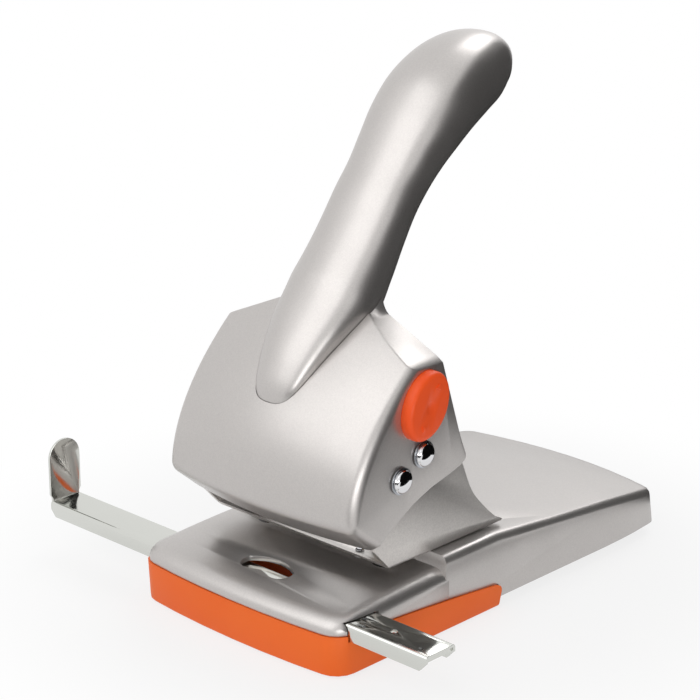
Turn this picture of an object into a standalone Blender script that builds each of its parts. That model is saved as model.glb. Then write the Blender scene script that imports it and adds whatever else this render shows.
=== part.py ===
"""A heavy duty two-hole desk punch, modelled at its real size in metres.

X runs along the guide bar, with the hand guide's far end on the right. Y runs from the
front edge of the base, where the paper goes in, to the back. Z is up from the table. The
origin is on the table, under the middle of the guide bar.
"""

import math

import bmesh
import bpy
from mathutils import Matrix, Vector

# Clearances and helpers
GAP = 0.0003
SLIDE_GAP = 0.0006
SEAM_GAP = 0.0004
OVERRUN = 0.006
MERGE = 0.000001
ROUND_STEPS = 20
SMALL_STEPS = 12
CORNER_STEPS = 4
FOOT_HOLE_STEPS = 14

# Base casting: low punching plate in front, raised deck behind
BASE_HALF_WIDTH = 0.0690
BASE_WALL = 0.0025
BASE_FRONT = 0.0211
BASE_FRONT_BOW = 0.0042
BASE_FRONT_CORNER = 0.0115
FRONT_ARC_SHARES = (0.0, 0.3, 0.6)
PLATE_HEIGHT = 0.0330
PLATE_FRONT_DROP = 0.0040
PLATE_EDGE_REACH = 0.0085
PLATE_EDGE_DROP = 0.0062
PLATE_EMBED = 0.0020
PAPER_STOP = 0.0577
DECK_INSET = 0.0002
DECK_HEIGHT = 0.0402
DECK_FALL = 0.0156
DECK_FALL_START = 0.0970
DECK_EDGE = 0.0040
DECK_LEAD = 0.0200
DECK_REAR = 0.2420
DECK_REAR_LEAN = 0.0030
REAR_BOW = 0.0100
REAR_TAPER = 0.0032
REAR_TAPER_LENGTH = 0.0500
REAR_CORNER = 0.0085
REAR_ARC_SHARES = (0.75, 0.5, 0.25, 0)
REAR_CLEARANCE = 0.0060
DECK_STATION_SHARES = (0.1, 0.2, 0.33, 0.46, 0.6, 0.7, 0.78)
DECK_FALL_SHARES = (
    (0.0, 0.0),
    (0.10, 0.10),
    (0.35, 0.34),
    (0.60, 0.54),
    (0.78, 0.76),
    (0.88, 0.90),
    (1.0, 1.0),
)

# Window over the guide bar
WINDOW_HALF_WIDTH = 0.0160
WINDOW_FRONT = -0.0025
WINDOW_REAR = 0.0131
WINDOW_SHARES = (
    (0.0, 0.16),
    (0.25, 0.09),
    (0.56, 0.0),
    (0.84, 0.07),
    (0.985, 0.33),
    (0.975, 0.56),
    (0.86, 0.71),
    (0.46, 0.92),
    (0.0, 1.0),
)

# Chip tray
TRAY_OVERHANG = 0.0008
TRAY_WALL = 0.0022
TRAY_FLOOR = 0.0024
TRAY_BOTTOM = 0.0012
TRAY_SEAM_HEIGHT = 0.0216
TRAY_REAR = 0.0989
TRAY_REAR_HEIGHT = 0.0132
TRAY_REAR_ROUND = 0.0035
TRAY_DRAFT = 0.0008
TRAY_INNER_DRAFT = 0.0006
TRAY_FOOT_ROUND = 0.0012
TRAY_STATION_SHARES = (0.33, 0.08, 0.0)
SEAM_LEVEL_END = -0.0075
SEAM_POWER = 1.35
HINGE_PIN_RADIUS = 0.0011
HINGE_LUG_INNER = 0.0487
HINGE_LUG_THICKNESS = 0.0030
HINGE_LUG_ROUND = 0.0024
HINGE_HEAD_RADIUS = 0.0018
HINGE_HEAD = 0.0010

# Feet
FRONT_FOOT_X = 0.0520
FRONT_FOOT_Y = 0.0
REAR_FOOT_X = 0.0480
REAR_FOOT_Y = 0.2120
FOOT_RADIUS = 0.0065
FOOT_STEM_RADIUS = 0.0020
FOOT_STEM_LENGTH = 0.0060
FOOT_BOSS_RADIUS = 0.0070

# Guide bar
BAR_HALF_WIDTH = 0.0100
BAR_TOP = 0.0273
BAR_DEPTH = 0.0081
BAR_SHEET = 0.0014
BAR_LEFT = -0.1485
BAR_RIGHT = 0.11675
BAR_BEND = 0.0016
FENCE_TOP = 0.0600
FENCE_NECK = 0.0012
FENCE_NOTCH = 0.0040
BAR_HOLE_X = 0.0880
BAR_HOLE_RADIUS = 0.00175
BAR_END_CHAMFER = 0.0022
BAR_LIP_DEPTH = 0.0032
BAR_TUNNEL_TOP = 0.0279
SADDLE_HALF_LENGTH = 0.0450
SADDLE_FRONT = 0.0125
SADDLE_REAR = 0.0185
SADDLE_THICKNESS = 0.0024
SADDLE_SCREW_X = 0.0400
SADDLE_SCREW_Y = 0.0145
SADDLE_BOSS_RADIUS = 0.0038
DETENT_HALF_LENGTH = 0.0280
DETENT_HALF_WIDTH = 0.0035
DETENT_SHEET = 0.0005
DETENT_FOOT = 0.0050
DETENT_CREST = 0.0070

# Punching positions
PUNCH_X = 0.0400
PUNCH_Y = 0.0457
PUNCH_RADIUS = 0.0030
PUNCH_TIP = 0.0412
PUNCH_RELIEF = 0.0014
PUNCH_HEAD_RADIUS = 0.0045
PUNCH_HEAD = 0.0016
PUNCH_CROWN_SHARE = 0.7
DIE_RADIUS = 0.0065
DIE_HEIGHT = 0.0040
DIE_FLANGE_RADIUS = 0.0085
DIE_FLANGE = 0.0015
DIE_SINK = 0.0002

# Punch frame
FRAME_SHEET = 0.0025
FRAME_FRONT = 0.0280
FRAME_FOOT_REAR = 0.1096
FRAME_NOSE_Y = 0.0170
FRAME_NOSE_Z = 0.0525
FRAME_EAR_RADIUS = 0.0140
FRAME_BEND = 0.0018
FRAME_TOE = 0.0050
FRAME_TOE_RISE = 0.0019
FRAME_WAIST_Y = 0.0443
FRAME_WAIST_Z = 0.1037
FRAME_SWEEP_SHARES = ((0.28, 0.25), (0.53, 0.53), (0.70, 0.90), (0.80, 1.12))
FRAME_LOCK_ARC = (math.radians(15), math.radians(120))
FRAME_EAR_ARC = (math.radians(80), math.radians(95))
FRAME_HOOD_CLEARANCE = 0.0017
FRAME_SCREW_INSET = 0.0117
FRAME_SCREW_FRONT_Y = 0.0700
FRAME_SCREW_REAR_Y = 0.0980
FRAME_RIVET_X = 0.0370
FRAME_RIVET_Y = 0.0305
RIVET_HEAD_RADIUS = 0.0022
RIVET_HEAD = 0.0008
RIVET_RADIUS = 0.0013
RIVET_CROWN_SHARE = 0.6
BUSH_SPIGOT_RADIUS = 0.0056
BUSH_RADIUS = 0.0076
BUSH_TOP = 0.0550
BUSH_CHAMFER = 0.0008
SCREW_RADIUS = 0.0020
SCREW_HEAD_RADIUS = 0.0042
SCREW_HEAD = 0.0024
SCREW_LENGTH = 0.0100
SCREW_BOSS_RADIUS = 0.0050
SCREW_SLOT_RADIUS = 0.0016
SCREW_SLOT_DEPTH = 0.0010
SCREW_DOME_SHARES = ((0.0, 1.0), (0.55, 1.0), (0.85, 0.65), (1.0, 0.30), (1.0, 0.0))

# Lever mechanism
PIVOT_Y = 0.0303
PIVOT_Z = 0.0862
PRESS_THROW = 0.0180
PRESS_ANGLE = math.radians(31.1)
LEVER_SWING = math.radians(38.0)
SHAFT_RADIUS = 0.0050
SHAFT_END_RADIUS = 0.0030
SHAFT_END = 0.0022
CAP_RADIUS = 0.0060
CAP_HEIGHT = 0.0030
CAP_RIM = 0.0008
WASHER_RADIUS = 0.0068
WASHER_THICKNESS = 0.0006
COLLAR_RADIUS = 0.0072
COLLAR_HEIGHT = 0.0034
SPRING_WIRE = 0.0016
SPRING_MEAN_RADIUS = 0.0055
SPRING_TURNS = 7
CURL_POINTS = 10
DEAD_TURNS = 1
CURL_GAP = 0.0005
LOCK_REACH = 0.0370
LOCK_ANGLE = math.radians(67.1)
LOCK_HOLE_RADIUS = 0.0041
LOCK_HOLE_MARGIN = 0.0040

# Lever hood
HOOD_HALF_WIDTH = 0.0634
HOOD_WALL = 0.0020
HOOD_FOLD = 0.0050
HOOD_LIP_ROUND = 0.0070
HOOD_CREST_ROUND = 0.0022
HOOD_ROOF_FOLD_SHARE = 0.25
HOOD_LIP_Z = 0.0550
HOOD_LIP_Y = 0.0140
HOOD_FACE_Z = 0.0690
HOOD_FACE_Y = -0.0026
HOOD_CREST_Z = 0.1387
HOOD_CREST_Y = 0.0378
HOOD_FACE_BOW = 0.0090
HOOD_CROWN = 0.0112
HOOD_CROWN_FULL_SHARE = 0.667
HOOD_LIP_CROWN = 0.0066
HOOD_ROOF_RISE = 0.0170
HOOD_ROOF_RISE_REACH = 0.0250
HOOD_REAR_TOP_Y = 0.0591
HOOD_REAR_MID_Y = 0.0724
HOOD_REAR_MID_Z = 0.0980
HOOD_REAR_LOW_Y = 0.0764
HOOD_REAR_LOW_Z = 0.0843
HOOD_REAR_WALL_LOW = 0.1220
HOOD_SIDE_EDGE_Z = 0.0838
HOOD_SIDE_EDGE_Y = 0.0600
HOOD_CORNER_CUT = 0.0035
HOOD_STATION_SHARES = (0.52, 0.66, 0.80)
HOOD_LOWER_EDGE_SHARES = ((0.26, 0.30), (0.535, 0.60))

# Handle
HANDLE_TONGUE_TIP_Y = 0.0080
HANDLE_TONGUE_TIP_Z = 0.1148
HANDLE_TOP_Z = 0.2760
HANDLE_END_Y = 0.1692
HANDLE_HALF_WIDTH = 0.0238
HANDLE_HALF_THICKNESS = 0.0160
HANDLE_ROUND_POINTS = 20
HANDLE_SQUARENESS = 2.35
HANDLE_SCREW_X = 0.0120
HANDLE_SCREW_Z = 0.1335
HANDLE_BOSS_RADIUS = 0.0048
HANDLE_BOSS_LENGTH = 0.0325

# Lock button
BUTTON_LONG = 0.0173
BUTTON_SHORT = 0.0132
BUTTON_TILT = math.radians(29)
BUTTON_PROUD = 0.0055
BUTTON_STEPS = 32
BUTTON_ROUND = 0.0022
BUTTON_DIMPLE_RADIUS = 0.0036
BUTTON_DIMPLE_DEPTH = 0.0006
BUTTON_SOCKET = 0.0032
LOCK_PIN_RADIUS = 0.0037
LOCK_SPRING_OFFSET = 0.0102
LOCK_SPRING_POCKET = 0.0038
LOCK_SPRING_POCKET_DEPTH = 0.0036
LOCK_SPRING_RADIUS = 0.0027
LOCK_SPRING_WIRE = 0.0006
LOCK_SPRING_TURNS = 4
CLIP_SHEET = 0.0006
CLIP_HALF_LENGTH = 0.0099
CLIP_HALF_WIDTH = 0.0040
CLIP_CORNER = 0.0015

# Derived places
WEB_LOW = DECK_HEIGHT + GAP
WEB_TOP = WEB_LOW + FRAME_SHEET
PRESS_Y = PIVOT_Y + PRESS_THROW * math.cos(PRESS_ANGLE)
PRESS_Z = PIVOT_Z + PRESS_THROW * math.sin(PRESS_ANGLE)
PUNCH_TOP = PRESS_Z - SHAFT_RADIUS - GAP
BUTTON_Y = PIVOT_Y + LOCK_REACH * math.cos(LOCK_ANGLE)
BUTTON_Z = PIVOT_Z + LOCK_REACH * math.sin(LOCK_ANGLE)
LOCK_HOLE_Y = PIVOT_Y + LOCK_REACH * math.cos(LOCK_ANGLE - LEVER_SWING)
LOCK_HOLE_Z = PIVOT_Z + LOCK_REACH * math.sin(LOCK_ANGLE - LEVER_SWING)
HOOD_INNER = HOOD_HALF_WIDTH - HOOD_WALL
FRAME_HALF_WIDTH = HOOD_INNER - FRAME_HOOD_CLEARANCE
FRAME_SCREW_X = FRAME_HALF_WIDTH - FRAME_SCREW_INSET
FRAME_SCREW_YS = (FRAME_SCREW_FRONT_Y, FRAME_SCREW_REAR_Y)
BUTTON_BACK = HOOD_HALF_WIDTH + 2 * GAP
HINGE_Y = TRAY_REAR + GAP + HINGE_LUG_ROUND
HINGE_Z = TRAY_BOTTOM + HINGE_LUG_ROUND

SIDES = {"left": -1, "right": 1}


def new_collection(name, hidden=False):
    collection = bpy.data.collections.new(name)
    bpy.context.scene.collection.children.link(collection)
    collection.hide_render = hidden
    return collection


for old in list(bpy.data.objects):
    bpy.data.objects.remove(old, do_unlink=True)

PARTS = new_collection("Heavy duty hole punch")
CUTTERS = new_collection("Cutters", hidden=True)


def linear(channel):
    return channel / 12.92 if channel <= 0.04045 else ((channel + 0.055) / 1.055) ** 2.4


def make_material(name, colour, roughness, metallic):
    """A plain Principled material, its colour given as an sRGB hex value."""
    material = bpy.data.materials.new(name)
    material.use_nodes = True
    shader = material.node_tree.nodes["Principled BSDF"]
    channels = [int(colour[i : i + 2], 16) / 255 for i in (0, 2, 4)]
    shader.inputs["Base Color"].default_value = (*map(linear, channels), 1)
    shader.inputs["Roughness"].default_value = roughness
    shader.inputs["Metallic"].default_value = metallic
    return material


SILVER = ("B4B1B0", 0.38, 0.75)
SATIN_STEEL = ("A5A1A3", 0.42, 0.80)
ORANGE = ("F9622A", 0.45, 0.0)
NICKEL = ("D5D3CC", 0.16, 1.0)
CHROME = ("D8D8DA", 0.08, 1.0)
HARD_STEEL = ("8D8D90", 0.28, 1.0)
ZINC = ("BFC2C6", 0.35, 1.0)
BRONZE = ("9A7A4C", 0.40, 1.0)
RUBBER = ("2B2B2D", 0.85, 0.0)
NYLON = ("3A3B3D", 0.55, 0.0)


def add(name, mesh, look=None):
    """Links a mesh as a part with a material of its own, or as a cutter if it has no look."""
    obj = bpy.data.objects.new(name, mesh)
    if look is None:
        CUTTERS.objects.link(obj)
        obj.hide_render = True
        obj.display_type = "WIRE"
        return obj
    PARTS.objects.link(obj)
    mesh.materials.append(make_material(name + "_finish", *look))
    return obj


def finished_mesh(name, bm):
    """Turns every face outwards and keeps the result as a mesh."""
    bmesh.ops.recalc_face_normals(bm, faces=bm.faces)
    mesh = bpy.data.meshes.new(name)
    bm.to_mesh(mesh)
    bm.free()
    return mesh


def evaluated_copy(obj):
    bpy.context.view_layer.update()
    graph = bpy.context.evaluated_depsgraph_get()
    return bpy.data.meshes.new_from_object(obj.evaluated_get(graph))


def shade(obj, angle=math.radians(35)):
    obj.data.shade_smooth()
    obj.data.set_sharp_from_angle(angle=angle)
    return obj


def box(name, low, high, look=None):
    """A box between two opposite corners."""
    bm = bmesh.new()
    bmesh.ops.create_cube(bm, size=1)
    low = Vector(low)
    high = Vector(high)
    for vert in bm.verts:
        vert.co = Vector(low[i] + (vert.co[i] + 0.5) * (high[i] - low[i]) for i in range(3))
    return add(name, finished_mesh(name, bm), look)


def rod(name, radius, start, end, look=None, steps=ROUND_STEPS, end_radius=None):
    """A cylinder or cone from one point to another."""
    start = Vector(start)
    end = Vector(end)
    bm = bmesh.new()
    turn = (end - start).to_track_quat("Z", "Y").to_matrix().to_4x4()
    bmesh.ops.create_cone(
        bm,
        cap_ends=True,
        segments=steps,
        radius1=radius,
        radius2=radius if end_radius is None else end_radius,
        depth=(end - start).length,
        matrix=Matrix.Translation((start + end) / 2) @ turn,
    )
    return add(name, finished_mesh(name, bm), look)


FLAT_TURNS = {
    "XY": (0, 0, 0),
    "XZ": (math.pi / 2, 0, 0),
    "YZ": (math.pi / 2, 0, math.pi / 2),
}


def prism(name, outline, plane, low, high, look=None, holes=()):
    """A flat outline in one of the main planes, given thickness from low to high."""
    curve = bpy.data.curves.new(name, "CURVE")
    curve.dimensions = "2D"
    curve.fill_mode = "BOTH"
    curve.extrude = (high - low) / 2
    for loop in (outline, *holes):
        spline = curve.splines.new("POLY")
        spline.points.add(len(loop) - 1)
        for point, (across, up) in zip(spline.points, loop):
            point.co = (across, up, 0, 1)
        spline.use_cyclic_u = True
    guide = bpy.data.objects.new(name + "_outline", curve)
    bpy.context.scene.collection.objects.link(guide)
    guide.rotation_euler = FLAT_TURNS[plane]
    through = next(i for i, letter in enumerate("XYZ") if letter not in plane)
    guide.location[through] = (low + high) / 2
    mesh = evaluated_copy(guide)
    mesh.transform(guide.matrix_world)
    bpy.data.objects.remove(guide, do_unlink=True)
    bm = bmesh.new()
    bm.from_mesh(mesh)
    bmesh.ops.remove_doubles(bm, verts=bm.verts, dist=MERGE)
    bpy.data.meshes.remove(mesh)
    return add(name, finished_mesh(name, bm), look)


TURN_AXES = {
    "Z": (0, 0, 0),
    "right": (0, math.pi / 2, 0),
    "left": (0, -math.pi / 2, 0),
}


def turned(name, profile, look, place, turn=TURN_AXES["Z"], steps=ROUND_STEPS, ring=False):
    """A turned piece. Its profile is (radius, height) points from the top of its outer side down."""
    mesh = bpy.data.meshes.new(name)
    points = [(radius, 0, height) for radius, height in profile]
    edges = [(i, i + 1) for i in range(len(points) - 1)]
    if ring:
        edges.append((len(points) - 1, 0))
    mesh.from_pydata(points, edges, [])
    obj = add(name, mesh, look)
    screw = obj.modifiers.new("Turn", "SCREW")
    screw.axis = "Z"
    screw.steps = steps
    screw.render_steps = steps
    screw.use_merge_vertices = True
    screw.merge_threshold = MERGE
    screw.use_smooth_shade = True
    obj.location = place
    obj.rotation_euler = turn
    bpy.context.view_layer.update()
    solid = evaluated_copy(obj)
    bm = bmesh.new()
    bm.from_mesh(solid)
    bpy.data.meshes.remove(solid)
    obj.modifiers.clear()
    bmesh.ops.remove_doubles(bm, verts=bm.verts, dist=MERGE)
    bmesh.ops.recalc_face_normals(bm, faces=bm.faces)
    bm.to_mesh(obj.data)
    bm.free()
    return shade(obj)


def boolean(target, tool, operation):
    """Cuts, joins or trims a part with a tool, which goes with the cutters."""
    modifier = target.modifiers.new(tool.name, "BOOLEAN")
    modifier.object = tool
    modifier.operation = operation
    modifier.solver = "EXACT"
    if PARTS in tool.users_collection:
        PARTS.objects.unlink(tool)
        CUTTERS.objects.link(tool)
    tool.hide_render = True
    tool.display_type = "WIRE"


def cut(target, *tools):
    for tool in tools:
        boolean(target, tool, "DIFFERENCE")
    return target


def join(target, *tools):
    for tool in tools:
        boolean(target, tool, "UNION")
    return target


def mirror_partner(vert, row):
    """The point of a ring that lies opposite across the middle plane."""
    opposite = Vector((-vert.co.x, vert.co.y, vert.co.z))
    return min(row, key=lambda other: (other.co - opposite).length)


def loft(name, rings, look=None, mirrored_caps=False):
    """A closed body through rings of equal counts. Mirrored caps join points across the middle plane."""
    bm = bmesh.new()
    rows = [[bm.verts.new(point) for point in ring] for ring in rings]
    count = len(rows[0])
    for lower, upper in zip(rows, rows[1:]):
        for i in range(count):
            j = (i + 1) % count
            bm.faces.new((lower[i], lower[j], upper[j], upper[i]))
    for row in (rows[0], rows[-1]):
        if not mirrored_caps:
            bm.faces.new(row)
            continue
        right = [vert for vert in row if vert.co.x >= 0]
        left = [mirror_partner(vert, row) for vert in right]
        for i in range(len(right) - 1):
            bm.faces.new(dict.fromkeys((right[i], right[i + 1], left[i + 1], left[i])))
    return shade(add(name, finished_mesh(name, bm), look))


def oval_points(centre, long, short, tilt, steps):
    """Points round an oval whose long axis leans back from the upright, as (y, z)."""
    points = []
    for i in range(steps):
        angle = math.tau * i / steps
        across = short * math.cos(angle)
        along = long * math.sin(angle)
        y = centre[0] + across * math.cos(tilt) + along * math.sin(tilt)
        points.append((y, centre[1] - across * math.sin(tilt) + along * math.cos(tilt)))
    return points


def circle_points(centre, radius, steps, start=0.0, sweep=math.tau):
    """Points round a circle, or along an arc with both its ends."""
    closed = sweep == math.tau
    count = steps if closed else steps + 1
    return [
        (
            centre[0] + radius * math.cos(start + sweep * i / steps),
            centre[1] + radius * math.sin(start + sweep * i / steps),
        )
        for i in range(count)
    ]


def rounded(outline, radii, steps=CORNER_STEPS, closed=True):
    """Replaces the corners of an outline with arcs. A radius of 0 keeps the corner."""
    result = []
    count = len(outline)
    for i, (corner, radius) in enumerate(zip(outline, radii)):
        if not radius or (not closed and i in (0, count - 1)):
            result.append(tuple(corner))
            continue
        corner = Vector(corner)
        before = (Vector(outline[i - 1]) - corner).normalized()
        after = (Vector(outline[(i + 1) % count]) - corner).normalized()
        half = before.angle(after) / 2
        middle = corner + (before + after).normalized() * (radius / math.sin(half))
        start = corner + before * (radius / math.tan(half)) - middle
        end = corner + after * (radius / math.tan(half)) - middle
        turn = start.angle_signed(end)
        for k in range(steps + 1):
            angle = -turn * k / steps
            spoke = Matrix.Rotation(angle, 2) @ start
            result.append(tuple(middle + spoke))
    return result


def offset_path(path, distance):
    """An open path moved sideways to its right, square to its own direction."""
    moved = []
    for i, point in enumerate(path):
        before = Vector(path[max(i - 1, 0)])
        here = Vector(point)
        after = Vector(path[min(i + 1, len(path) - 1)])
        first = (here - before).normalized() if i else (after - here).normalized()
        second = (after - here).normalized() if i < len(path) - 1 else first
        normal = Vector((first.y + second.y, -first.x - second.x)).normalized()
        reach = distance / max(normal.dot(Vector((first.y, -first.x))), 0.5)
        moved.append(tuple(here + normal * reach))
    return moved


def smooth_through(points, steps):
    """A smooth curve through points of any number of values."""
    result = []
    for i in range(len(points) - 1):
        p0 = Vector(points[max(i - 1, 0)])
        p1 = Vector(points[i])
        p2 = Vector(points[i + 1])
        p3 = Vector(points[min(i + 2, len(points) - 1)])
        for k in range(steps):
            t = k / steps
            blend = 2 * p1 + (p2 - p0) * t
            blend += (2 * p0 - 5 * p1 + 4 * p2 - p3) * t**2
            blend += (3 * p1 - p0 - 3 * p2 + p3) * t**3
            result.append(tuple(blend / 2))
    result.append(tuple(points[-1]))
    return result


def interpolate(shares, share):
    """The value at a share of the way along a list of (share, value) pairs."""
    for (low, start), (high, end) in zip(shares, shares[1:]):
        if share <= high:
            return start + (end - start) * max(share - low, 0) / (high - low)
    return shares[-1][1]


def symmetric_ring(half, heights):
    """A closed ring from the right half of a plan, listed from front to rear, with its heights."""
    points = [(x, y, z) for (x, y), z in zip(half, heights)]
    return points + [(-x, y, z) for x, y, z in reversed(points) if x > 0]


def front_half_plan(half_width, front, bow, corner, inset, sides):
    """The right half of the base's front end, bowed across and rounded at the corner."""
    width = half_width - inset
    nose = inset - front
    arc = [(width * share, nose + bow * share**2) for share in FRONT_ARC_SHARES]
    outline = [*arc, (width, nose + bow), (width, sides[0])]
    rounding = rounded(outline, (0, 0, 0, corner - inset, 0), closed=False)
    return rounding + [(width, y) for y in sides[1:]]


def plate_top(y):
    share = (PAPER_STOP - y) / (PAPER_STOP + BASE_FRONT)
    return PLATE_HEIGHT - PLATE_FRONT_DROP * share * abs(share)


def smooth_fall_shares():
    return smooth_through(DECK_FALL_SHARES, 3)


FALL_SHARES = smooth_fall_shares()


def deck_top(y):
    share = (y - DECK_FALL_START) / (DECK_REAR - DECK_FALL_START)
    return DECK_HEIGHT - DECK_FALL * interpolate(FALL_SHARES, max(share, 0))


def tray_seam(y):
    """The height of the chip tray's top edge, level in front and falling towards the rear."""
    share = (y - SEAM_LEVEL_END) / (TRAY_REAR - SEAM_LEVEL_END)
    height = TRAY_SEAM_HEIGHT - (TRAY_SEAM_HEIGHT - TRAY_REAR_HEIGHT) * max(share, 0) ** SEAM_POWER
    past = min(max(y - (TRAY_REAR - TRAY_REAR_ROUND), 0), TRAY_REAR_ROUND)
    return height - TRAY_REAR_ROUND + math.sqrt(TRAY_REAR_ROUND**2 - past**2)


def base_bottom(y):
    return tray_seam(y) + SEAM_GAP if y < TRAY_REAR + GAP / 2 else REAR_CLEARANCE


def spread(low, high, count):
    return [low + (high - low) * i / (count - 1) for i in range(count)]


def plate_ring(inset, height):
    sides = spread(0, PAPER_STOP + PLATE_EMBED, 6)
    half = front_half_plan(
        BASE_HALF_WIDTH, BASE_FRONT, BASE_FRONT_BOW, BASE_FRONT_CORNER, inset, sides
    )
    return symmetric_ring(half, [height(y) for _, y in half])


def quarter(steps):
    """The (inset, drop) shares of a quarter round, from the side to the top."""
    for k in range(steps + 1):
        angle = math.pi / 2 * k / steps
        yield 1 - math.cos(angle), 1 - math.sin(angle)


def plate_body(name, wall, bottom):
    """The low plate's outside, or the space inside its wall."""
    rings = [plate_ring(wall, bottom)]
    for inset, drop in quarter(CORNER_STEPS):
        rings.append(
            plate_ring(
                wall + (PLATE_EDGE_REACH - wall) * inset,
                lambda y, drop=drop: plate_top(y) - wall - (PLATE_EDGE_DROP - wall) * drop,
            )
        )
    return loft(name, rings, mirrored_caps=True)


def deck_ring(inset, lean, height, start):
    """A ring round the raised deck. It starts in front of the paper stop and is trimmed later."""
    width = BASE_HALF_WIDTH - DECK_INSET - inset
    rear = DECK_REAR - inset - lean
    corner_y = rear - REAR_BOW
    sides = [PAPER_STOP, DECK_FALL_START, TRAY_REAR, TRAY_REAR + GAP]
    span = DECK_REAR - DECK_FALL_START
    sides += [DECK_FALL_START + span * share for share in DECK_STATION_SHARES]
    half = [(width, start)]
    for y in sides:
        if y <= start:
            continue
        share = max(y - (corner_y - REAR_TAPER_LENGTH), 0) / REAR_TAPER_LENGTH
        half.append((width - REAR_TAPER * share**2, y))
    end = (width - REAR_TAPER, corner_y)
    arc = [(end[0] * share, rear - REAR_BOW * share**2) for share in REAR_ARC_SHARES]
    corner = rounded([half[-1], end, arc[0]], (0, REAR_CORNER - inset, 0), closed=False)
    half += corner[1:] + arc[1:]
    return symmetric_ring(half, [height(y) for _, y in half])


def deck_body(name, wall, bottom, start):
    """The raised deck's outside, or the space inside its wall."""
    edge = DECK_EDGE - wall / 2
    rings = [deck_ring(wall, 0, bottom, start)]
    for inset, drop in quarter(CORNER_STEPS):
        rings.append(
            deck_ring(
                wall + edge * inset,
                DECK_REAR_LEAN,
                lambda y, drop=drop: deck_top(y) - wall - edge * drop,
                start,
            )
        )
    return loft(name, rings, mirrored_caps=True)


def window_outline():
    """The bean-shaped window: an arched rear side and two front lobes with a hump between."""
    depth = WINDOW_REAR - WINDOW_FRONT
    half = smooth_through([(x * WINDOW_HALF_WIDTH, WINDOW_FRONT + y * depth) for x, y in WINDOW_SHARES], 3)
    return half + [(-x, y) for x, y in reversed(half[1:-1])]


def foot_places():
    """Each foot's name, place and seat. One of the three at the front is in the middle."""
    for word, sign in (("left", -1), ("middle", 0), ("right", 1)):
        yield f"front_foot_{word}", sign * FRONT_FOOT_X, FRONT_FOOT_Y, TRAY_BOTTOM
    for word, sign in SIDES.items():
        yield f"rear_foot_{word}", sign * REAR_FOOT_X, REAR_FOOT_Y, REAR_CLEARANCE


def add_boss(body, name, place, radius, low, top, depth):
    """A round boss under the skin, with a hole for a screw or a foot's stem up from its end."""
    start = (*place, low)
    join(body, rod(name + "_boss", radius, start, (*place, top), steps=SMALL_STEPS))
    hole = SCREW_RADIUS + GAP
    cut(body, rod(name + "_bore", hole, (*place, low - OVERRUN), (*place, depth), steps=SMALL_STEPS))


def make_base_casting():
    """One die-cast shell, open below: punching plate, paper stop, deck, and bosses inside."""
    base = plate_body("base_casting", 0, base_bottom)
    base.name = "base_casting"
    CUTTERS.objects.unlink(base)
    PARTS.objects.link(base)
    base.hide_render = False
    base.display_type = "TEXTURED"
    base.data.materials.append(make_material("base_casting_finish", *SILVER))
    start = PAPER_STOP - DECK_LEAD
    deck = deck_body("deck_outside", 0, base_bottom, start)
    wide = BASE_HALF_WIDTH + OVERRUN
    high = DECK_HEIGHT + OVERRUN
    cut(deck, box("deck_front_trim", (-wide, start - OVERRUN, 0), (wide, PAPER_STOP, high)))
    join(base, deck)

    def below(y):
        return -OVERRUN

    cut(base, plate_body("plate_space", BASE_WALL, below))
    cut(base, deck_body("deck_space", BASE_WALL, below, PAPER_STOP + BASE_WALL))
    tunnel = BAR_HALF_WIDTH + SLIDE_GAP
    cut(base, box("bar_tunnel", (-wide, -tunnel, 0), (wide, tunnel, BAR_TUNNEL_TOP)))
    inner = BASE_HALF_WIDTH - BASE_WALL
    throat = box(
        "inside_opening",
        (-inner + BASE_WALL, PAPER_STOP - BASE_WALL, 0),
        (inner - BASE_WALL, PAPER_STOP + 2 * BASE_WALL, plate_top(PAPER_STOP) - BASE_WALL),
    )
    cut(base, throat)
    cut(base, prism("window", window_outline(), "XY", BAR_TOP, PLATE_HEIGHT + OVERRUN))
    for word, sign in SIDES.items():
        x = sign * PUNCH_X
        start = (x, PUNCH_Y, BAR_TOP)
        end = (x, PUNCH_Y, PLATE_HEIGHT + OVERRUN)
        cut(base, rod(f"die_hole_{word}", DIE_RADIUS + GAP, start, end))
        for row, y in enumerate(FRAME_SCREW_YS):
            place = (sign * FRAME_SCREW_X, y)
            top = deck_top(y) - BASE_WALL / 2
            low = WEB_TOP - SCREW_LENGTH - BASE_WALL
            add_boss(base, f"frame_{word}_{row}", place, SCREW_BOSS_RADIUS, low, top, top + OVERRUN)
        place = (sign * SADDLE_SCREW_X, SADDLE_SCREW_Y)
        top = plate_top(SADDLE_SCREW_Y) - BASE_WALL / 2
        add_boss(base, f"saddle_{word}", place, SADDLE_BOSS_RADIUS, BAR_TOP - BAR_DEPTH, top, BAR_TOP)
        near, far = sorted(sign * (HINGE_LUG_INNER + n * HINGE_LUG_THICKNESS + GAP) for n in (1, 2))
        lug = circle_points((HINGE_Y, HINGE_Z), HINGE_LUG_ROUND, 6, math.pi, math.pi)
        top = deck_top(HINGE_Y + HINGE_LUG_ROUND) - BASE_WALL / 2
        lug += [(HINGE_Y + HINGE_LUG_ROUND, top), (HINGE_Y - HINGE_LUG_ROUND, top)]
        join(base, prism(f"hinge_lug_{word}", lug, "YZ", near, far))
        start = (near - HINGE_LUG_THICKNESS, HINGE_Y, HINGE_Z)
        end = (far + HINGE_LUG_THICKNESS, HINGE_Y, HINGE_Z)
        cut(base, rod(f"hinge_bore_{word}", HINGE_PIN_RADIUS + GAP, start, end, steps=SMALL_STEPS))
    for name, x, y, low in foot_places():
        if name.startswith("rear"):
            top = deck_top(y) - BASE_WALL / 2
            depth = low + FOOT_STEM_LENGTH + GAP
            add_boss(base, name, (x, y), FOOT_BOSS_RADIUS, low, top, depth)
    return base


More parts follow.
